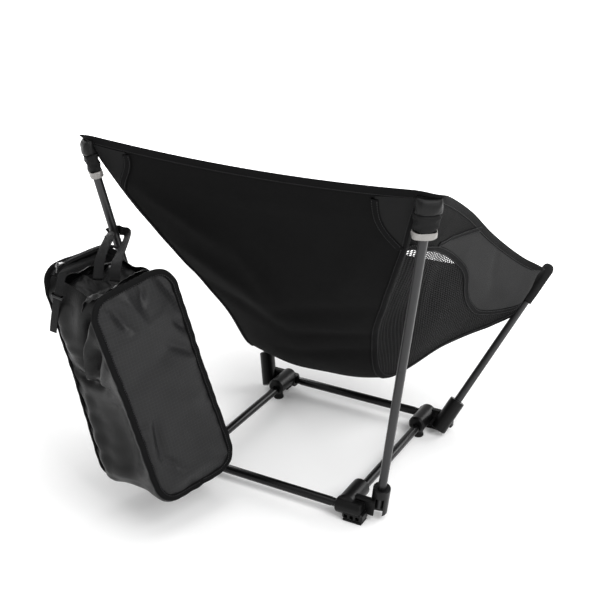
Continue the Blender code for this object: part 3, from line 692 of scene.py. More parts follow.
def build_sling():
    """The sling's three panels after settling, as sheets: left side, middle and right side."""
    side_shares = np.linspace(0, 1, SIDE_COLUMNS)
    points = np.array([
        [side_surface(-1, t, v) for t in side_shares[:0:-1]]
        + [centre_surface(t, v) for t in np.linspace(-1, 1, CENTRE_COLUMNS)]
        + [side_surface(1, t, v) for t in side_shares[1:]]
        for v in np.linspace(0, 1, SLING_ROWS)
    ])
    held = np.ones(points.shape[:2], bool)
    held[1:-1, 1:-1] = False
    stirred = points.copy()
    for i, j in zip(*np.nonzero(~held)):
        stirred[i, j] += np.array(noise.noise_vector(Vector(points[i, j]) * STIR_SCALE)) * STIR
    cut = SIDE_COLUMNS - 1
    calm = np.full((1, points.shape[1], 1), SIDE_SETTLING)
    calm[:, cut:-cut] = 1.0
    moved = points + (settle(stirred, held, SLING_SLACK, 0.009) - points) * calm
    along = np.linspace(0, 1, 161)[:, None]
    wide, tall = [], []
    for t in along[:, 0]:
        seam = spline(SEAM_LINE, t)
        wide.append([seam[0]])
        tall.append([np.linalg.norm(spline(SIDE_LINE, t) - seam)])
    across = np.linspace(0, 1, 121)[None, :]
    height = crease_field(across * 2 - 1, along, np.array(wide), CENTRE_LENGTH, CREASES)
    middle = Sheet(moved[:, cut:cut + CENTRE_COLUMNS], sign=-1.0)
    made = {0: Sheet(middle.at(across, along, height), sign=-1.0)}
    up = np.linspace(0, 1, 61)[None, :]
    height = crease_field(up, along, np.array(tall), SIDE_LENGTH, SIDE_CREASES)
    for side, grid in ((-1, moved[:, cut::-1]), (1, moved[:, -SIDE_COLUMNS:])):
        made[side] = Sheet(Sheet(grid, sign=-side).at(up, along, height), sign=-side)
    return made


SLING = build_sling()


def on_sling(a, v, want=Sheet.at, last=1.02):
    """Points of the sling. Across runs -2 to -1 and 1 to 2 over the side panels, -1 to 1 over the middle."""
    a, v = np.broadcast_arrays(np.asarray(a, float), np.asarray(v, float))
    value = want(SLING[0], (np.clip(a, -1, 1) + 1) / 2, v)
    for side in (-1, 1):
        here = a * side > 1
        if np.any(here):
            value = np.where(here[..., None], want(SLING[side], np.clip(a * side - 1, 0, last), v), value)
    return value


def sling_normal(a, v):
    return on_sling(a, v, Sheet.normal, 1.0)


QUARTERS = {
    (1, "rear"): ("post_rear_right", 0.100, 0.205),
    (-1, "rear"): ("post_rear_left", 0.100, 0.205),
    (1, "front"): ("post_front_right", 0.180, 0.322),
    (-1, "front"): ("post_front_left", 0.180, 0.322),
}
FRONT_FROM, FRONT_SLANT = 0.105, 0.2    # the line between the rear and front quarters


def drape(name, shape, finish_name, replaces=()):
    """Cuts the sling's part of a shape into its four quarters, rear and front on each side, as separate
    objects.
    """
    centres = np.array([shape.verts[list(face)].mean(axis=0) for face in shape.faces])
    front = centres[:, 1] > FRONT_FROM + FRONT_SLANT * np.abs(centres[:, 0])
    right = centres[:, 0] > 0
    for (side, end), (body, begin, finish_at) in QUARTERS.items():
        chosen = np.nonzero((right == (side > 0)) & (front == (end == "front")))[0]
        if not len(chosen):
            continue
        hand = "right" if side > 0 else "left"
        obj = shape.pick(chosen).object("{}_{}_{}".format(name, end, hand), finish_name)
        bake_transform(obj)
    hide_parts(*replaces)


# The black corner's edge on a side panel, as (height, length) shares, and the mesh opening's outline
WING_BAND = ((0.60, 0.270), (0.766, 0.334), (0.864, 0.404), (0.929, 0.461), (0.985, 0.520))
OPENING = np.array((
    (0.00, 0.145), (0.166, 0.158), (0.34, 0.200), (0.538, 0.252), (0.66, 0.325), (0.725, 0.411),
    (0.766, 0.531), (0.742, 0.592), (0.654, 0.650), (0.561, 0.702), (0.418, 0.778), (0.312, 0.829),
    (0.244, 0.879), (0.185, 0.922), (0.150, 0.955), (0.130, 0.985),
))


def inside_opening(up, along):
    """True where a side panel is knit mesh."""
    return up < np.interp(along, OPENING[:, 1], OPENING[:, 0], left=-1.0, right=-1.0)


def corner_bow(up):
    """How far the rounded rear corner is cut back, as a share of the length."""
    return CORNER_BOW * (1 - np.sqrt(np.maximum(0.0, 1 - up ** 2)))


def sling_cloth():
    shape = thick_cells(*SLING[0].both(*patch((0.003, 0.997), (0.003, 0.997), 101, 131)),
                        np.ones((130, 100), bool), CLOTH_T)
    drape("seat_cloth", shape, "seat_cloth", ["seat_panel"])
    for side, hand in SIDES:
        up, along = patch((0.004, 0.996), (0.003, 0.997), 81, 161)
        points, normals = SLING[side].both(up, along)
        mid_up, mid_along = middles(up), middles(along)
        keep = ~inside_opening(mid_up, mid_along) & (mid_along >= corner_bow(mid_up))
        black = mid_along < np.interp(mid_up, *zip(*WING_BAND))
        flat = flat_coords(points)
        for name, part, cloth, nodes in (("wing_corner_", black, "seat_cloth", ()),
                                         ("wing_cloth_", ~black, "wing_cloth", ["side_wing_" + hand])):
            drape(name + hand, thick_cells(points, normals, keep & part, CLOTH_T, flat), cloth, nodes)


def knit_marks(low, high, pitch, steps):
    """Where the knit's threads start and end between two limits."""
    return (low + pitch * np.arange(int((high - low) / pitch))[:, None] + np.array(steps)).ravel()


def knit_mesh():
    """Open knit: rows of small holes, each row half a hole along from the last."""
    pitch_y, pitch_z = KNIT_PITCH
    hole = (pitch_y - 2 * KNIT_STRAND) / 2
    steps = (0, KNIT_STRAND, KNIT_STRAND + hole, 2 * KNIT_STRAND + hole)
    for side, hand in SIDES:
        sheet = SLING[side]
        gu, gv = patch((0, 1), (0.08, 1.0), 25, 61)
        known = sheet.at(gu, gv)[..., 1:].reshape(-1, 2)
        low, high = known.min(0), known.max(0)
        ys = knit_marks(low[0], high[0], pitch_y, steps)
        zs = knit_marks(low[1], high[1], pitch_z, steps[:2])
        yy, zz = np.meshgrid(ys, zs)
        nearest = np.array([((known[:, :1] - ys) ** 2 + (known[:, 1:] - z) ** 2).argmin(0) for z in zs])
        up, along = gu.ravel()[nearest], gv.ravel()[nearest]
        for _ in range(5):
            here = sheet.at(up, along)
            across, down = sheet.slopes(up, along)
            miss_y, miss_z = yy - here[..., 1], zz - here[..., 2]
            det = across[..., 1] * down[..., 2] - across[..., 2] * down[..., 1]
            det = np.where(np.abs(det) < 1e-6, 1e-6, det)
            up = np.clip(up + (miss_y * down[..., 2] - miss_z * down[..., 1]) / det, -0.05, 1.05)
            along = np.clip(along + (across[..., 1] * miss_z - across[..., 2] * miss_y) / det, 0.0, 1.05)
        points, normals = sheet.both(up, along)
        mid_up, mid_along = middles(up), middles(along)
        i, j = np.indices(mid_up.shape)
        solid = (i % 2 == 0) | ((j % 4 == 0) & (i % 4 == 1)) | ((j % 4 == 2) & (i % 4 == 3))
        keep = solid & inside_opening(mid_up - 0.02, mid_along) & (mid_up > 0.005)
        keep &= np.linalg.norm(points[1:, 1:] - points[:-1, :-1], axis=-1) < 0.008
        drape("knit_mesh_" + hand, thick_cells(points, normals, keep, 0.0007), "knit_mesh",
              ["side_mesh_" + hand])


def smooth_run(points, width, closed=False):
    """Evens out a run of points with a short moving average."""
    kernel = np.hanning(2 * width + 3)[1:-1]
    kernel /= kernel.sum()
    if closed:
        padded = np.concatenate([points[-width:], points, points[:width]])
    else:
        padded = np.concatenate([np.repeat(points[:1], width, 0), points, np.repeat(points[-1:], width, 0)])
    return np.stack([np.convolve(padded[:, k], kernel, "valid") for k in range(points.shape[1])], 1)


def dense_path(path, steps):
    """More points on the straight lines between a path's own."""
    return np.concatenate([np.linspace(a, b, steps, endpoint=False) for a, b in zip(path[:-1], path[1:])]
                          + [path[-1:]])


def resample(path, count, closed=False):
    """Even steps along a path of (across, along) shares, measured on the cloth."""
    path = np.asarray(path, float)
    dense = dense_path(np.vstack([path, path[:1]]) if closed else path, 24)
    run = run_along(on_sling(*dense.T))
    return at_marks(np.linspace(0, run[-1], count, endpoint=not closed), run, dense)


def band_section(width, half, crown, outer=0.0, shift=(0.0, 0.0)):
    """(sideways, lift) round a folded tape. Sideways runs from the free edge to the folded one."""
    inner = width - outer
    upper = ((-inner, half), (-inner * 0.70, half + crown), (-inner * 0.30, half + crown),
             (outer * 0.2, half + crown * 0.8), (outer, half * 0.4))
    return np.array(upper + tuple((x, -z) for x, z in upper[::-1])) + np.array(shift)


def edge_loop():
    """The sling's outline as (across, along) shares, with rounded rear corners."""
    middle, ends = np.linspace(-1.0, 1.0, 41), np.linspace(0.06, 0.94, 12)
    flanks = np.linspace(0.045, 0.985, 60)
    ups = np.linspace(0.08, 1.0, 14)
    corner = np.column_stack([1 + ups, corner_bow(ups)])
    right = [*corner, *((2.0, v) for v in flanks), *((2.0 - t, 1.0) for t in ends)]
    left = [*((-1.0 - t, 1.0) for t in ends), *((-2.0, v) for v in flanks[::-1]), *(corner[::-1] * (-1, 1))]
    return [*((a, 0.0) for a in middle), *right, *((a, 1.0) for a in middle[::-1]), *left]


def taped(path, section, closed=False, smooth=3, guide=None):
    """A tape of one cross-section along a path on the sling: its rings, middle line, width and facing."""
    points = smooth_run(on_sling(*path.T), smooth, closed)
    facing = unit(smooth_run(sling_normal(*path.T), smooth + 2, closed))
    along = tangents(points, closed)
    wide = unit(np.cross(along, facing))
    if guide is not None:
        wide = turned(wide, points - np.array(guide))
    facing = turned(unit(np.cross(wide, unit(along))), facing)
    rings = sections(points, *zip((wide, facing), section.T))
    return rings, points, wide, facing


def stitches(points, facing, lift, pitch=0.0036, length=0.0024, width=0.0007):
    """A row of short threads lying along a run of points."""
    run = run_along(points)
    marks = np.arange(pitch, run[-1] - pitch, pitch)
    if not len(marks):
        return Shape()
    at = at_marks(marks, run, points)
    up = unit(at_marks(marks, run, facing))
    ahead = unit(at_marks(marks + 0.001, run, points) - at)
    side = unit(np.cross(up, ahead))
    at = at + up * lift
    half, thin = length / 2, width / 2
    corners = ((-half, -thin), (half, -thin), (half, thin), (-half, thin))
    outline = np.array([(x, y, -0.6) for x, y in corners] + [(x * 0.7, y * 0.6, 0.6) for x, y in corners])
    verts = sections(at, *zip((ahead, side, up), (outline * (1, 1, width)).T))
    cube = np.array(((0, 3, 2, 1), (4, 5, 6, 7), (0, 1, 5, 4), (1, 2, 6, 5), (2, 3, 7, 6), (3, 0, 4, 7)))
    faces = (cube[None] + 8 * np.arange(len(marks))[:, None, None]).reshape(-1, 4)
    normals = unit(verts - verts.mean(axis=1, keepdims=True) + up[:, None, :] * 0.0003).reshape(-1, 3)
    flat = verts.reshape(-1, 3)
    return Shape().add(flat, faces, normals[faces], flat[:, :2])


def sewn_tape(name, path, section, smooth, offsets, lift, sewing):
    """A tape along a path, with a row of stitches at each offset from its middle."""
    rings, points, wide, facing = taped(path, section, smooth=smooth)
    drape(name, ring_skin(rings), "binding_tape")
    for offset in offsets:
        sewing.merge(stitches(points + wide * offset, facing, lift))


def sling_tapes():
    sewing = Shape()
    section = band_section(0.0125, 0.0009, 0.0006, outer=0.0012)
    hem = resample(edge_loop(), 520, closed=True)
    rings, points, wide, facing = taped(hem, section, closed=True, smooth=4, guide=SLING_MIDDLE)
    drape("edge_binding", ring_skin(rings, closed=True), "binding_tape",
          ["hem_rear", "hem_front", "hem_side_left", "hem_side_right"])
    for sign in (1, -1):
        sewing.merge(stitches(points - wide * 0.0095, facing * sign, 0.0014))
    narrow = band_section(0.0100, 0.0012, 0.0004, shift=(0.0050, 0.0))
    for side, hand in SIDES:
        seam = resample([(side * 1.0, v) for v in np.linspace(0.012, 0.992, 40)], 190)[:, 1]
        drape("seam_tape_" + hand, ring_skin(folded_band(side, seam, 0.0065, 0.0012)), "binding_tape")
        for offset in (0.0045, -0.0045):
            sewing.merge(stitches(*beside_seam(side, seam, offset), 0.0018))
        flip = np.array((side, 1))
        opening = resample(smooth_path((OPENING + (1, 0)) * flip), 170)
        sewn_tape("opening_binding_" + hand, opening, narrow, 4, (-0.0034, 0.0034), 0.0018, sewing)
        band = resample((np.array(WING_BAND) + (1, 0)) * flip, 30)
        sewn_tape("wing_band_" + hand, band, narrow, 2, (-0.0034, 0.0034), 0.0018, sewing)
    drape("sling_stitching", sewing, "thread")


def smooth_path(path):
    return smooth_run(dense_path(np.asarray(path, float), 8), 6)


def beside_seam(side, v, offset):
    """Points beside the seam: a positive offset is on the side panel, a negative one on the middle panel."""
    if offset > 0:
        tall = np.array([np.linalg.norm(spline(SIDE_LINE, t) - spline(SEAM_LINE, t)) for t in v])
        return SLING[side].both(np.minimum(offset / tall, 0.4), v)
    wide = np.array([spline(SEAM_LINE, t)[0] for t in v])
    return SLING[0].both((side * (1 + offset / wide) + 1) / 2, v)


def folded_band(side, v, reach, half):
    """Rings of a tape sewn over the seam, with half its width on each panel."""
    outer, inner = [], []
    for stop in np.array((-1.0, -0.66, -0.30, 0.0, 0.30, 0.66, 1.0)) * reach:
        if abs(stop) < 1e-9:
            point = SLING[0].at((side + 1) / 2, v)
            facing = unit(beside_seam(side, v, -0.002)[1] + beside_seam(side, v, 0.002)[1])
        else:
            point, facing = beside_seam(side, v, stop)
        thick = half + (0.0004 if abs(stop) < reach * 0.9 else 0.0)
        outer.append(point + facing * thick)
        inner.append(point - facing * thick)
    return np.stack(outer + inner[::-1], 1)


# The reinforcements' inner edges, as (across, along) shares
PATCHES = {
    1: ((0.755, 0.012), (0.775, 0.040), (0.800, 0.064), (0.858, 0.094), (0.935, 0.120), (0.985, 0.137)),
    -1: ((0.780, 0.012), (0.788, 0.030), (0.835, 0.055), (0.905, 0.085), (0.985, 0.118)),
}


def corner_patches():
    """Reinforcements on the outer face of the rear corners, edged by a double-sewn band."""
    sewing = Shape()
    section = band_section(0.0110, 0.0006, 0.0004, shift=(0.0055, 0.0022))
    for side, hand in SIDES:
        (_, first), (last, end) = PATCHES[side][0], PATCHES[side][-1]
        edge = smooth_path(PATCHES[side])
        v_line = np.linspace(first, end, 31)
        inner = np.interp(v_line, edge[:, 1], edge[:, 0])
        grid = np.stack([inner + (last - inner) * t for t in np.linspace(0, 1, 25)], 1)
        v = np.broadcast_to(v_line[:, None], grid.shape)
        points, normals = SLING[0].both((side * grid + 1) / 2, v, np.full(grid.shape, 0.0013))
        shape = thick_cells(points, normals, np.ones((30, 24), bool), 0.0010)
        drape("corner_patch_cloth_" + hand, shape, "patch_cloth", ["corner_patch_" + hand])
        path = resample(edge * (side, 1), 44)
        sewn_tape("patch_band_" + hand, path, section, 2, (-0.0038, 0.0038), 0.0034, sewing)
    drape("patch_stitching", sewing, "thread")


# ------------------------------------------------------------ corner pockets


def post_frame(side, end):
    """(top of the post, unit direction up it, unit direction along the sleeve's flat width, unit inward)."""
    rear = end == "rear"
    mouth = np.array(REAR_MOUTH if rear else FRONT_MOUTH) * (side, 1, 1)
    axis = unit(np.array(REAR_LEAN if rear else FRONT_LEAN) * (side, 1, 1))
    top = mouth + axis * (((REAR_TOP_Z if rear else FRONT_TOP_Z) - mouth[2]) / axis[2])
    inward = np.array((-side * 0.64, 0.77 if rear else -0.77, 0.0))
    inward = unit(inward - axis * (inward @ axis))
    return top, axis, np.cross(axis, inward), inward


# Sleeves round the posts' tops: name, cloth, slot, CAD node, crumple and the cross-sections from below
# upwards, each (height from the post's top, half width, half thickness, shift inward)
REAR_SLEEVES = (
    ("rear_sleeve_", "patch_cloth", "binding_tape", "corner_pocket_rear_", 0.0011, (
        (-0.0385, 0.0148, 0.0084, 0.0), (-0.037, 0.0156, 0.0088, 0.0), (-0.030, 0.0163, 0.0094, 0.0),
        (-0.0235, 0.0170, 0.0096, 0.0), (-0.018, 0.0173, 0.0098, 0.0), (-0.0145, 0.0176, 0.0094, 0.0),
        (-0.0135, 0.0172, 0.0082, 0.0), (-0.0130, 0.0150, 0.0072, 0.0))),
    ("rear_strap_", "pocket_satin", "binding_tape", "", 0.0, (
        (-0.0128, 0.0140, 0.0068, 0.0), (-0.0122, 0.0176, 0.0102, 0.0), (-0.0100, 0.0178, 0.0108, 0.0),
        (-0.0050, 0.0178, 0.0104, 0.0), (0.0000, 0.0176, 0.0094, 0.0), (0.0040, 0.0172, 0.0082, 0.001),
        (0.0066, 0.0165, 0.0066, 0.002), (0.0080, 0.0150, 0.0036, 0.003))),
    ("tab_wrap_", "reflective_tape", "reflective_tape", "pull_tab_", 0.0, (
        (-0.0490, 0.0156, 0.0090, 0.0), (-0.0485, 0.0166, 0.0096, 0.0), (-0.0440, 0.0170, 0.0098, 0.0),
        (-0.0395, 0.0168, 0.0096, 0.0), (-0.0390, 0.0158, 0.0090, 0.0))),
)
FRONT_SLEEVES = (
    ("front_sleeve_", "patch_cloth", "binding_tape", "corner_pocket_front_", 0.0, (
        (-0.0640, 0.0092, 0.0078, 0.0), (-0.060, 0.0096, 0.0080, 0.0), (-0.045, 0.0098, 0.0082, 0.0),
        (-0.025, 0.0100, 0.0082, 0.0), (-0.010, 0.0106, 0.0084, 0.0), (0.000, 0.0104, 0.0082, 0.0),
        (0.005, 0.0092, 0.0068, 0.0), (0.008, 0.0066, 0.0046, 0.0), (0.0092, 0.0034, 0.0022, 0.0))),
)


def sleeve_rings(side, end, stations, crumple):
    """Cross-sections of a flattened sleeve."""
    top, axis, wide, inward = post_frame(side, end)
    turn, (c, s) = squircle(40, 0.8)
    rings = []
    for height, half_w, half_t, shift in stations:
        ripple = 1 + 0.03 * np.sin(5 * turn + height * 300)
        ripple = ripple + crumple / half_t * np.sin(3 * turn - height * 500)
        rings.append(top + axis * height + wide * (c * half_w * ripple)[:, None]
                     + inward * ((s * half_t * ripple) + shift)[:, None])
    return rings


def pockets():
    for side, hand in SIDES:
        for end, sleeves in (("rear", REAR_SLEEVES), ("front", FRONT_SLEEVES)):
            for name, cloth, slot, node, crumple, stations in sleeves:
                obj = ring_skin(sleeve_rings(side, end, stations, crumple)).object(name + hand, cloth)
                carry(obj, "post_{}_{}".format(end, hand), slot, *([node + hand] if node else []))


# ---------------------------------------------------------------------- bag

# Corners of the sagging panels as (width, length), from the lower rear corner round by the top
FRONT_CORNERS = ((-0.045, -0.178), (-0.068, 0.153), (0.067, 0.159), (0.090, -0.176))
BACK_CORNERS = ((-0.058, -0.172), (-0.057, 0.182), (0.068, 0.172), (0.080, -0.168))
LOOP_STEPS = 168
GUSSET_ROWS = 29
PANEL_LEVEL = 0.067         # the panels' distance from the bag's middle
BAG_SAG = 0.005
BAG_CLOTH_T = 0.0008
PANEL_STEP = 0.0016         # between a panel's grid lines
GUSSET_SLACK = 0.040        # how much larger the gusset is cut than the space it spans
MOUTH = (-0.046, 0.050)     # the open top, across the bag's width
MOUTH_ROWS = (0.30, 0.74)   # and from the back panel to the front one

PANEL_FOLDS = (
    ((-0.036, 0.132), (-0.020, 0.096), 0.0085, -0.0085), ((-0.014, 0.142), (0.000, 0.092), 0.0085, 0.0045),
    ((0.018, 0.144), (0.008, 0.120), 0.0060, -0.0060), ((0.046, 0.146), (0.062, 0.108), 0.0085, -0.0075),
    ((0.052, 0.076), (0.072, 0.050), 0.0050, -0.0055), ((0.036, 0.046), (0.072, 0.018), 0.0075, -0.0055),
    ((-0.022, -0.046), (-0.026, -0.104), 0.0075, -0.0080),
    ((-0.026, -0.104), (-0.002, -0.134), 0.0080, -0.0070),
    ((-0.036, -0.050), (-0.038, -0.120), 0.0080, 0.0040), ((-0.034, 0.074), (0.045, 0.104), 0.0140, 0.0040),
    ((-0.034, 0.020), (0.050, 0.050), 0.0150, -0.0030), ((-0.020, -0.010), (0.060, -0.060), 0.0180, 0.0030),
    ((0.010, -0.070), (0.060, -0.120), 0.0160, -0.0030), ((-0.010, -0.150), (0.050, -0.145), 0.0100, 0.0030),
)
GUSSET_FOLDS = (
    ((0.058, 0.160), (-0.020, 0.040), 0.0110, -0.0300), ((-0.020, 0.150), (-0.048, 0.050), 0.0130, 0.0140),
    ((0.066, 0.124), (-0.020, 0.012), 0.0070, 0.0170), ((0.050, 0.080), (0.012, 0.030), 0.0060, -0.0140),
    ((0.058, 0.060), (0.006, 0.004), 0.0080, 0.0080), ((-0.064, 0.014), (0.016, 0.002), 0.0090, -0.0130),
    ((-0.048, -0.010), (-0.054, -0.160), 0.0120, 0.0110), ((0.030, -0.020), (0.014, -0.150), 0.0300, -0.0150),
    ((-0.060, -0.150), (0.050, -0.132), 0.0120, 0.0060),
)


def bag_axes():
    up = unit(np.array(BAG_UP))
    across = np.array(BAG_ACROSS)
    across = unit(across - up * (across @ up))
    return np.stack([np.cross(across, up), across, up])


BAG_AXES = bag_axes()


def in_bag(points):
    """From the bag's own coordinates to the scene's."""
    return np.asarray(points, float) @ BAG_AXES + np.array(BAG_MIDDLE)


def rounded_loop(corners, radius, count, inset=0.0):
    """Even points round a shape with rounded corners, starting at the middle of its last side."""
    corners = np.asarray(corners, float)
    middle = corners.mean(axis=0)
    path = []
    for k, here in enumerate(corners):
        before, after = corners[k - 1], corners[(k + 1) % len(corners)]
        start, end = here + unit(before - here) * radius, here + unit(after - here) * radius
        for t in np.linspace(0, 1, 9):
            path.append(start * (1 - t) ** 2 + here * 2 * t * (1 - t) + end * t * t)
    first = (corners[-1] + corners[0]) / 2
    path = np.array([first] + path + [first])
    run = run_along(path)
    loop = at_marks(np.linspace(0, run[-1], count, endpoint=False), run, path)
    return loop - unit(loop - middle) * inset


def inside_loop(loop, y, z):
    """True where (y, z) is inside a loop."""
    inside = np.zeros(y.shape, bool)
    for (y0, z0), (y1, z1) in zip(loop, np.roll(loop, -1, 0)):
        crosses = (z0 > z) != (z1 > z)
        with np.errstate(divide="ignore", invalid="ignore"):
            inside ^= crosses & (y < (y1 - y0) * (z - z0) / (z1 - z0) + y0)
    return inside


def bag_panel(corners, level, name, folds):
    """A padded panel: full in the middle and puckered where it meets its binding."""
    loop = rounded_loop(corners, 0.034, LOOP_STEPS, 0.0015)
    facing = math.copysign(1.0, level)
    low, high = loop.min(axis=0), loop.max(axis=0)
    y, z = np.meshgrid(*(np.arange(low[k], high[k], PANEL_STEP) for k in (0, 1)))
    gap = np.hypot(y[..., None] - loop[:, 0], z[..., None] - loop[:, 1])
    edge, nearest = gap.min(axis=-1), gap.argmin(axis=-1)
    run = nearest * (TAU / LOOP_STEPS)
    pucker = np.sin(run * 31 + 1.6 * np.sin(run * 5)) * np.exp(-edge / 0.009) * 0.0011
    bulge = 0.0065 * (1 - np.exp(-np.maximum(edge - 0.006, 0.0) / 0.022))
    folded = crease_field(y, z, 1.0, 1.0, folds) + noise_at(y * 26, z * 26, level * 40) * 0.0022
    height = bulge + pucker + folded * (1 - np.exp(-edge / 0.010))
    points = in_bag(np.stack([level + facing * height, y, z], -1))
    normals = Sheet(points).normal(*patch((0, 1), (0, 1), *y.shape[::-1]))
    keep = inside_loop(loop, middles(y), middles(z))
    normals = turned(normals, BAG_AXES[0] * facing)
    shape = thick_cells(points, normals, keep, BAG_CLOTH_T, np.stack([y, z], -1))
    carry(shape.object(name, "bag_cloth"), "bag", "bag_cloth",
          *(("bag_panel_front", "bag_panel_back") if facing > 0 else ()))


def bag_binding(corners, level, name, sewing):
    """The black tape folded over a panel's edge."""
    loop = rounded_loop(corners, 0.036, 260, 0.0040)
    run = np.linspace(0, TAU, len(loop), endpoint=False)
    wobble = 0.0007 * np.sin(run * 17 + np.sin(run * 7) * 2) + 0.0005 * np.sin(run * 41)
    centre = np.column_stack([level + wobble, loop])
    ahead = tangents(loop, closed=True)
    outward = turned(unit(np.stack([-ahead[:, 1], ahead[:, 0]], 1)), loop - loop.mean(axis=0))
    _, (c, s) = squircle(16, 0.7)
    rings = np.zeros((len(loop), len(c), 3))
    rings[..., 0] = centre[:, :1] + s * 0.0034
    rings[..., 1:] = centre[:, None, 1:] + outward[:, None, :] * (c * 0.0050)[None, :, None]
    carry(ring_skin(in_bag(rings), closed=True).object(name, "binding_tape"), "bag", "binding_tape")
    line = centre - np.column_stack([np.zeros(len(loop)), outward * 0.0030])
    out = np.repeat(BAG_AXES[:1] * math.copysign(1.0, level), len(loop), 0)
    sewing.merge(stitches(in_bag(line), out, 0.0035))


def gusset_sheet():
    """The gusset as a sheet: u runs round the bag and v from the back panel to the front one."""
    back = rounded_loop(BACK_CORNERS, 0.036, LOOP_STEPS, 0.0030)
    front = rounded_loop(FRONT_CORNERS, 0.034, LOOP_STEPS, 0.0030)
    v = np.linspace(0, 1, GUSSET_ROWS)[:, None, None]
    loops = back + (front - back) * v
    outward = unit(loops - loops.mean(axis=1, keepdims=True))
    level = (v * 2 - 1) * PANEL_LEVEL
    stirred = noise_at(loops[..., 0] * 30, loops[..., 1] * 30, level[..., 0] * 30)
    sag = -BAG_SAG * 4 * v * (1 - v) + 0.004 * stirred[..., None] * np.sin(math.pi * v)
    loops = loops + outward * sag
    local = np.concatenate([np.broadcast_to(level, loops.shape[:2] + (1,)), loops], -1)
    held = np.zeros(local.shape[:2], bool)
    held[[0, -1]] = True
    sheet = Sheet(settle(in_bag(local), held, GUSSET_SLACK, 0.011, cyclic=True), cyclic=True)
    u, v = patch((0, 1), (0, 1), 421, 73)
    u, v = u[:, :-1], v[:, :-1]
    points, normals = sheet.both(u, v)
    local = (points - np.array(BAG_MIDDLE)) @ BAG_AXES.T
    rear_face = np.clip((0.012 - local[..., 1]) / 0.03, 0, 1) * np.clip((0.175 - local[..., 2]) / 0.03, 0, 1)
    fixed = np.sin(math.pi * np.clip(v * 1.16 - 0.08, 0, 1)) ** 0.4
    height = crease_field(local[..., 0], local[..., 2], 1.0, 1.0, GUSSET_FOLDS) * rear_face * fixed
    top = np.clip((local[..., 2] - 0.120) / 0.03, 0, 1)
    gap_y = np.maximum(MOUTH[0] - local[..., 1], local[..., 1] - MOUTH[1])
    gap_v = np.maximum(MOUTH_ROWS[0] - v, v - MOUTH_ROWS[1]) * 2 * PANEL_LEVEL
    away = np.maximum(np.maximum(gap_y, gap_v), 0.0)
    gather = 1 + 0.8 * noise_at(local[..., 0] * 22, local[..., 1] * 42, 3.0)
    lift = top * 0.012 * np.exp(-(away / 0.010) ** 2) * gather * fixed
    normals = turned(normals, points - points.mean(axis=(0, 1)))
    return Sheet(points + normals * height[..., None] + BAG_AXES[2] * lift[..., None], cyclic=True), local


def bag():
    sewing = Shape()
    for corners, level, name, folds in ((FRONT_CORNERS, PANEL_LEVEL, "bag_front", PANEL_FOLDS),
                                        (BACK_CORNERS, -PANEL_LEVEL, "bag_back", PANEL_FOLDS[:4])):
        bag_panel(corners, level, name, folds)
        bag_binding(corners, level, name + "_binding", sewing)
    carry(sewing.object("bag_stitching", "thread"), "bag", "binding_tape",
          "bag_binding_front", "bag_binding_back")

    sheet, local = gusset_sheet()
    rows, columns = local.shape[:2]
    u, v = patch((0, 1), (0, 1), columns + 1, rows)
    points, normals = sheet.both(u, v)
    y, z, v = local[..., 1], local[..., 2], v[:, :-1]
    open_top = (z > 0.10) & (y > MOUTH[0]) & (y < MOUTH[1]) & (v > MOUTH_ROWS[0]) & (v < MOUTH_ROWS[1])
    normals = turned(normals, points - points.mean(axis=(0, 1)))
    shape = thick_cells(points, normals, ~open_top[:-1], BAG_CLOTH_T)
    # The gusset's satin is a darker copy of the panels': painted shade on the bag's sides
    carry(shape.object("bag_gusset_cloth", "gusset_cloth_painted_shade"), "bag", "bag_gusset_cloth", "bag_gusset")
    bag_collar()
    bag_zip()
    bag_handle()


def bag_collar():
    """The crumpled inner collar that closes the bag's mouth."""
    x, y = patch((-0.042, 0.046), (-0.056, 0.058), 71, 91)
    drop = 0.016 + 0.020 * np.exp(-((x - 0.012) / 0.016) ** 2)
    rough = noise_at(x * 40, y * 40, 0.7, lambda point: noise.fractal(point, 1.2, 2.1, 3))
    z = 0.168 - drop + rough * 0.0075 - (y / 0.058) ** 4 * 0.010
    points = in_bag(np.stack([x, y, z], -1))
    normals = turned(Sheet(points).normal(*patch((0, 1), (0, 1), 71, 91)), BAG_AXES[2])
    shape = thick_cells(points, normals, np.ones((90, 70), bool), BAG_CLOTH_T)
    carry(shape.object("bag_collar", "bag_lining"), "bag", "bag_cloth")


def swept(points, wide, width, thick, name, finish_name):
    """A flat strap along a run of points, with the direction of its width at each."""
    along = unit(np.gradient(points, axis=0))
    wide = unit(wide - along * np.sum(wide * along, axis=1, keepdims=True))
    facing = np.cross(along, wide)
    w, t = width / 2, thick / 2
    right = ((w, -t * 0.5), (w, t * 0.5), (w * 0.92, t), (w * 0.4, t))
    upper = right[1:] + tuple((-x, y) for x, y in right[:0:-1])
    section = np.array(upper + tuple((-x, -y) for x, y in upper))
    rings = sections(points, *zip((wide, facing), section.T))
    return ring_skin(rings).object(name, finish_name), wide, facing


def curve_through(points, count):
    """Evenly counted points on a smooth curve through a few."""
    points = np.asarray(points, float)
    padded = np.vstack([2 * points[0] - points[1], points, 2 * points[-1] - points[-2]])
    place = np.linspace(0, len(points) - 1, count)
    index = np.clip(np.floor(place), 0, len(points) - 2).astype(int)
    weight = Sheet.spread(place - index)
    return sum(padded[index + k] * weight[:, k:k + 1] for k in range(4))


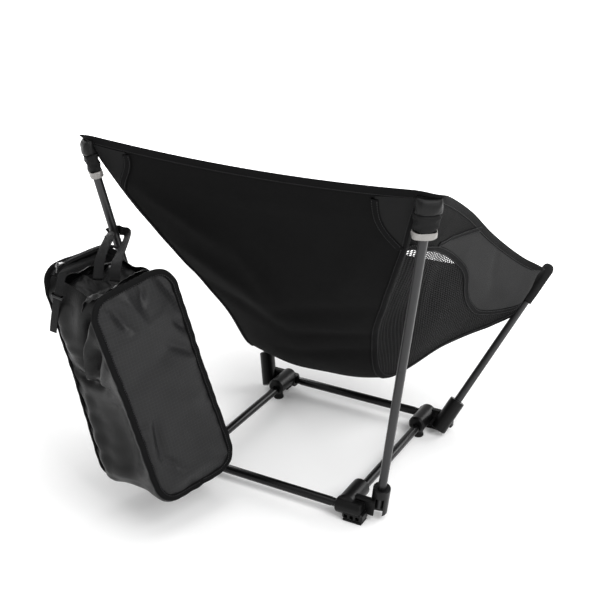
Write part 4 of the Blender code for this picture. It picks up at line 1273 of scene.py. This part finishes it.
def bag_handle():
    """A webbing loop round the post, its two ends sewn to the lips of the bag's mouth."""
    axis = unit(np.array(REAR_LEAN) * (-1, 1, 1))
    mouth = np.array(REAR_MOUTH) * (-1, 1, 1)
    bend = mouth + axis * ((HANDLE_BEND_Z - mouth[2]) / axis[2])
    left, right = in_bag(((0.014, -0.017, 0.158), (0.048, -0.010, 0.158)))
    towards = unit((left + right) / 2 - bend)
    towards = unit(towards - axis * (towards @ axis))
    out = turned(np.cross(axis, towards), right - left)
    radius = POST_R + 0.0020
    loop = [bend + out * radius * math.sin(a) * 1.2 - towards * radius * math.cos(a)
            for a in np.radians((-90, -45, 0, 45, 90))]
    swell = bend + out * 0.020 + towards * 0.012 - axis * 0.004
    rise, over, fall_to = in_bag(((0.000, 0.004, 0.182), (-0.036, 0.044, 0.1930), (0.040, 0.006, 0.180)))
    path = [left, rise, over] + loop + [swell, fall_to, right]
    flat = turned(np.cross(unit(loop[0] - left), HANDLE_FACING), right - left)
    fall = turned(np.cross(unit(right - swell), HANDLE_FACING), right - left)
    wide = [flat] * 3 + [unit(flat + axis * 0.4)] + [axis] * 3 + [unit(fall + axis), unit(fall + axis * 0.3)]
    obj = swept(curve_through(path, 90), curve_through(wide + [fall] * 2, 90), 0.0140, 0.0017,
                "handle_webbing", "webbing")[0]
    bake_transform(obj)
    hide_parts("bag_handle")


# The zip slider and its pull, from the zip's start, and the loose strap, in the bag's own coordinates
ZIP_START = (-0.040, -0.039, 0.1795)
SLIDER = ((0, -0.0060, 0.0010), (0, -0.0050, 0.0034), (0, 0.0, 0.0042), (0, 0.0050, 0.0034),
          (0, 0.0060, 0.0010))
PULL = ((0, -0.002, 0.0052), (0.004, -0.006, 0.0060), (0.009, -0.010, 0.0030), (0.012, -0.014, -0.0030))
STRAP = ((-0.010, -0.052, 0.180), (0.002, -0.068, 0.168), (-0.006, -0.073, 0.152), (-0.022, -0.074, 0.130),
         (-0.038, -0.074, 0.110), (-0.054, -0.073, 0.091))
KEEPER_AT = 17


def bag_widths(direction, count):
    """One direction of the bag's, repeated for a run of points."""
    return np.repeat([direction], count, 0) @ BAG_AXES


def bag_zip():
    """The zip along the mouth's back lip, its slider, and the loose strap at the back edge."""
    y = np.linspace(-0.054, 0.054, 60)
    lip = in_bag(np.column_stack([np.full(60, -0.040), y, 0.183 - 0.012 * (y / 0.054) ** 4]))
    wide = bag_widths((1.0, 0.0, -0.3), 60)
    obj, across, facing = swept(lip, wide, 0.012, 0.0014, "zip_tape", "binding_tape")
    carry(obj, "bag", "binding_tape", "bag_zip")
    teeth = Shape()
    for shift in (-0.0010, 0.0010):
        teeth.merge(stitches(lip + across * shift, turned(facing, BAG_AXES[2]), 0.0012, pitch=0.0020,
                             length=0.0011, width=0.0016))
    carry(teeth.object("zip_teeth", "zip_teeth"), "bag", "moulded_plastic")

    start = np.array(ZIP_START)
    obj = swept(in_bag(start + SLIDER), bag_widths((1.0, 0.0, 0.0), 5), 0.0078, 0.0022, "zip_slider_body",
                "slider_metal")[0]
    carry(obj, "zip_slider", "moulded_plastic", "bag_zip_slider")
    obj = swept(in_bag(curve_through(start + PULL, 16)), bag_widths((0.3, -0.4, 0.6), 16), 0.0040, 0.0011,
                "zip_pull", "slider_metal")[0]
    carry(obj, "zip_slider", "moulded_plastic")

    points = in_bag(curve_through(STRAP, 48))
    obj, across, _ = swept(points, np.cross(np.gradient(points, axis=0), HANDLE_FACING), 0.0105, 0.0016,
                           "loose_strap", "webbing")
    carry(obj, "bag", "binding_tape", "bag_strap")
    at, ahead = points[KEEPER_AT], points[KEEPER_AT + 1] - points[KEEPER_AT]
    obj = swept(np.array([at + ahead * t for t in (0.0, 1.0, 2.0)]), across[KEEPER_AT:KEEPER_AT + 3], 0.0160,
                0.0046, "strap_keeper", "keeper")[0]
    carry(obj, "bag", "moulded_plastic")


# -------------------------------------------------------------- carried CAD


def carried_nodes():
    """Gives the CAD's own hard pieces their finishes and sharp edges."""
    for name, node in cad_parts.items():
        mirrored = (-1 if name.endswith("left") else 1, 1, 1)
        if name.startswith(("hub_", "post_tip")):
            material = finish("moulded_plastic")
        elif name.startswith("foot_"):
            material = finish("rubber")
        elif name in ("rear_tube", "front_tube"):
            material = alloy_finish(name + "_alloy", (1, 0, 0), 0.013, 0.24)
        elif name.startswith("side_tube"):
            material = alloy_finish(name + "_alloy", (0, 1, 0), 0.013, 0.24)
        elif name.startswith(("rear_post", "front_post")):
            lean = REAR_LEAN if name.startswith("rear") else FRONT_LEAN
            material = alloy_finish(name + "_alloy", np.array(lean) * mirrored, 0.036, 0.30)
        else:
            continue
        node.data.materials.clear()
        node.data.materials.append(material)
        node.data.polygons.foreach_set("use_smooth", np.ones(len(node.data.polygons), bool))
        node.modifiers.new("weld", "WELD").merge_threshold = 0.000002
        node.modifiers.new("sharp", "EDGE_SPLIT").split_angle = math.radians(32)


# -------------------------------------------------------------------- stage


def placed(name, data):
    obj = bpy.data.objects.new(name, data)
    bpy.context.scene.collection.objects.link(obj)
    return obj


def studio_floor():
    """A white floor that glows further out, so that its edge can't be seen."""
    mesh = bpy.data.meshes.new("floor")
    corners = [(x * FLOOR_SIZE, y * FLOOR_SIZE, 0) for x, y in ((-1, -1), (1, -1), (1, 1), (-1, 1))]
    mesh.from_pydata(corners, [], [(0, 1, 2, 3)])
    pale = Finish("pale_floor", (0.93, 0.93, 0.93), 0.85, specular=0.1)
    pale.mottle(0.6, 0.01)
    far = pale.node("VectorMath", operation="LENGTH")
    pale.link(pale.place(), far.inputs[0])
    pale.set(pale.shader, {"Emission Color": (1.0, 1.0, 1.0, 1.0)})
    glow = pale.ramp(far.outputs["Value"], 0.10, 1.0, **{"From Min": 0.5, "From Max": 1.8})
    pale.link(glow, pale.shader.inputs["Emission Strength"])
    mesh.materials.append(pale.material)
    placed("floor", mesh)


def studio_world():
    """White where the camera sees it, and dimmer as light."""
    world = bpy.data.worlds.new("studio")
    world.use_nodes = True
    tree = world.node_tree
    background, seen = tree.nodes["Background"], tree.nodes.new("ShaderNodeLightPath")
    background.inputs["Color"].default_value = (1.0, 1.0, 1.0, 1.0)
    level = tree.nodes.new("ShaderNodeMapRange")
    level.inputs["To Min"].default_value, level.inputs["To Max"].default_value = ROOM_LIGHT, ROOM_SEEN
    tree.links.new(seen.outputs["Is Camera Ray"], level.inputs["Value"])
    tree.links.new(level.outputs[0], background.inputs["Strength"])
    bpy.context.scene.world = world


def stage():
    studio_floor()
    studio_world()
    for name, where, power, width in LIGHTS:
        data = bpy.data.lights.new(name, "AREA")
        data.energy = power
        data.size = width
        lamp = placed(name, data)
        lamp.location = Vector(where) + Vector(ORIGIN)
        lamp.rotation_euler = (Vector(LIT_POINT) - Vector(where)).to_track_quat("-Z", "Y").to_euler()
    bpy.context.scene.view_settings.view_transform = "Standard"
    camera = bpy.data.cameras.new("camera")
    camera.lens = CAMERA_LENS
    camera.sensor_width = CAMERA_SENSOR
    eye = placed("camera", camera)
    azimuth, elevation = math.radians(CAMERA_AZIMUTH), math.radians(CAMERA_ELEVATION)
    back = Vector((math.sin(azimuth) * math.cos(elevation), -math.cos(azimuth) * math.cos(elevation),
                   math.sin(elevation)))
    eye.location = Vector(CAMERA_AT) + Vector(ORIGIN)
    eye.rotation_euler = back.to_track_quat("Z", "Y").to_euler()
    bpy.context.scene.camera = eye


sling_cloth()
knit_mesh()
sling_tapes()
corner_patches()
pockets()
bag()
carried_nodes()
stage()
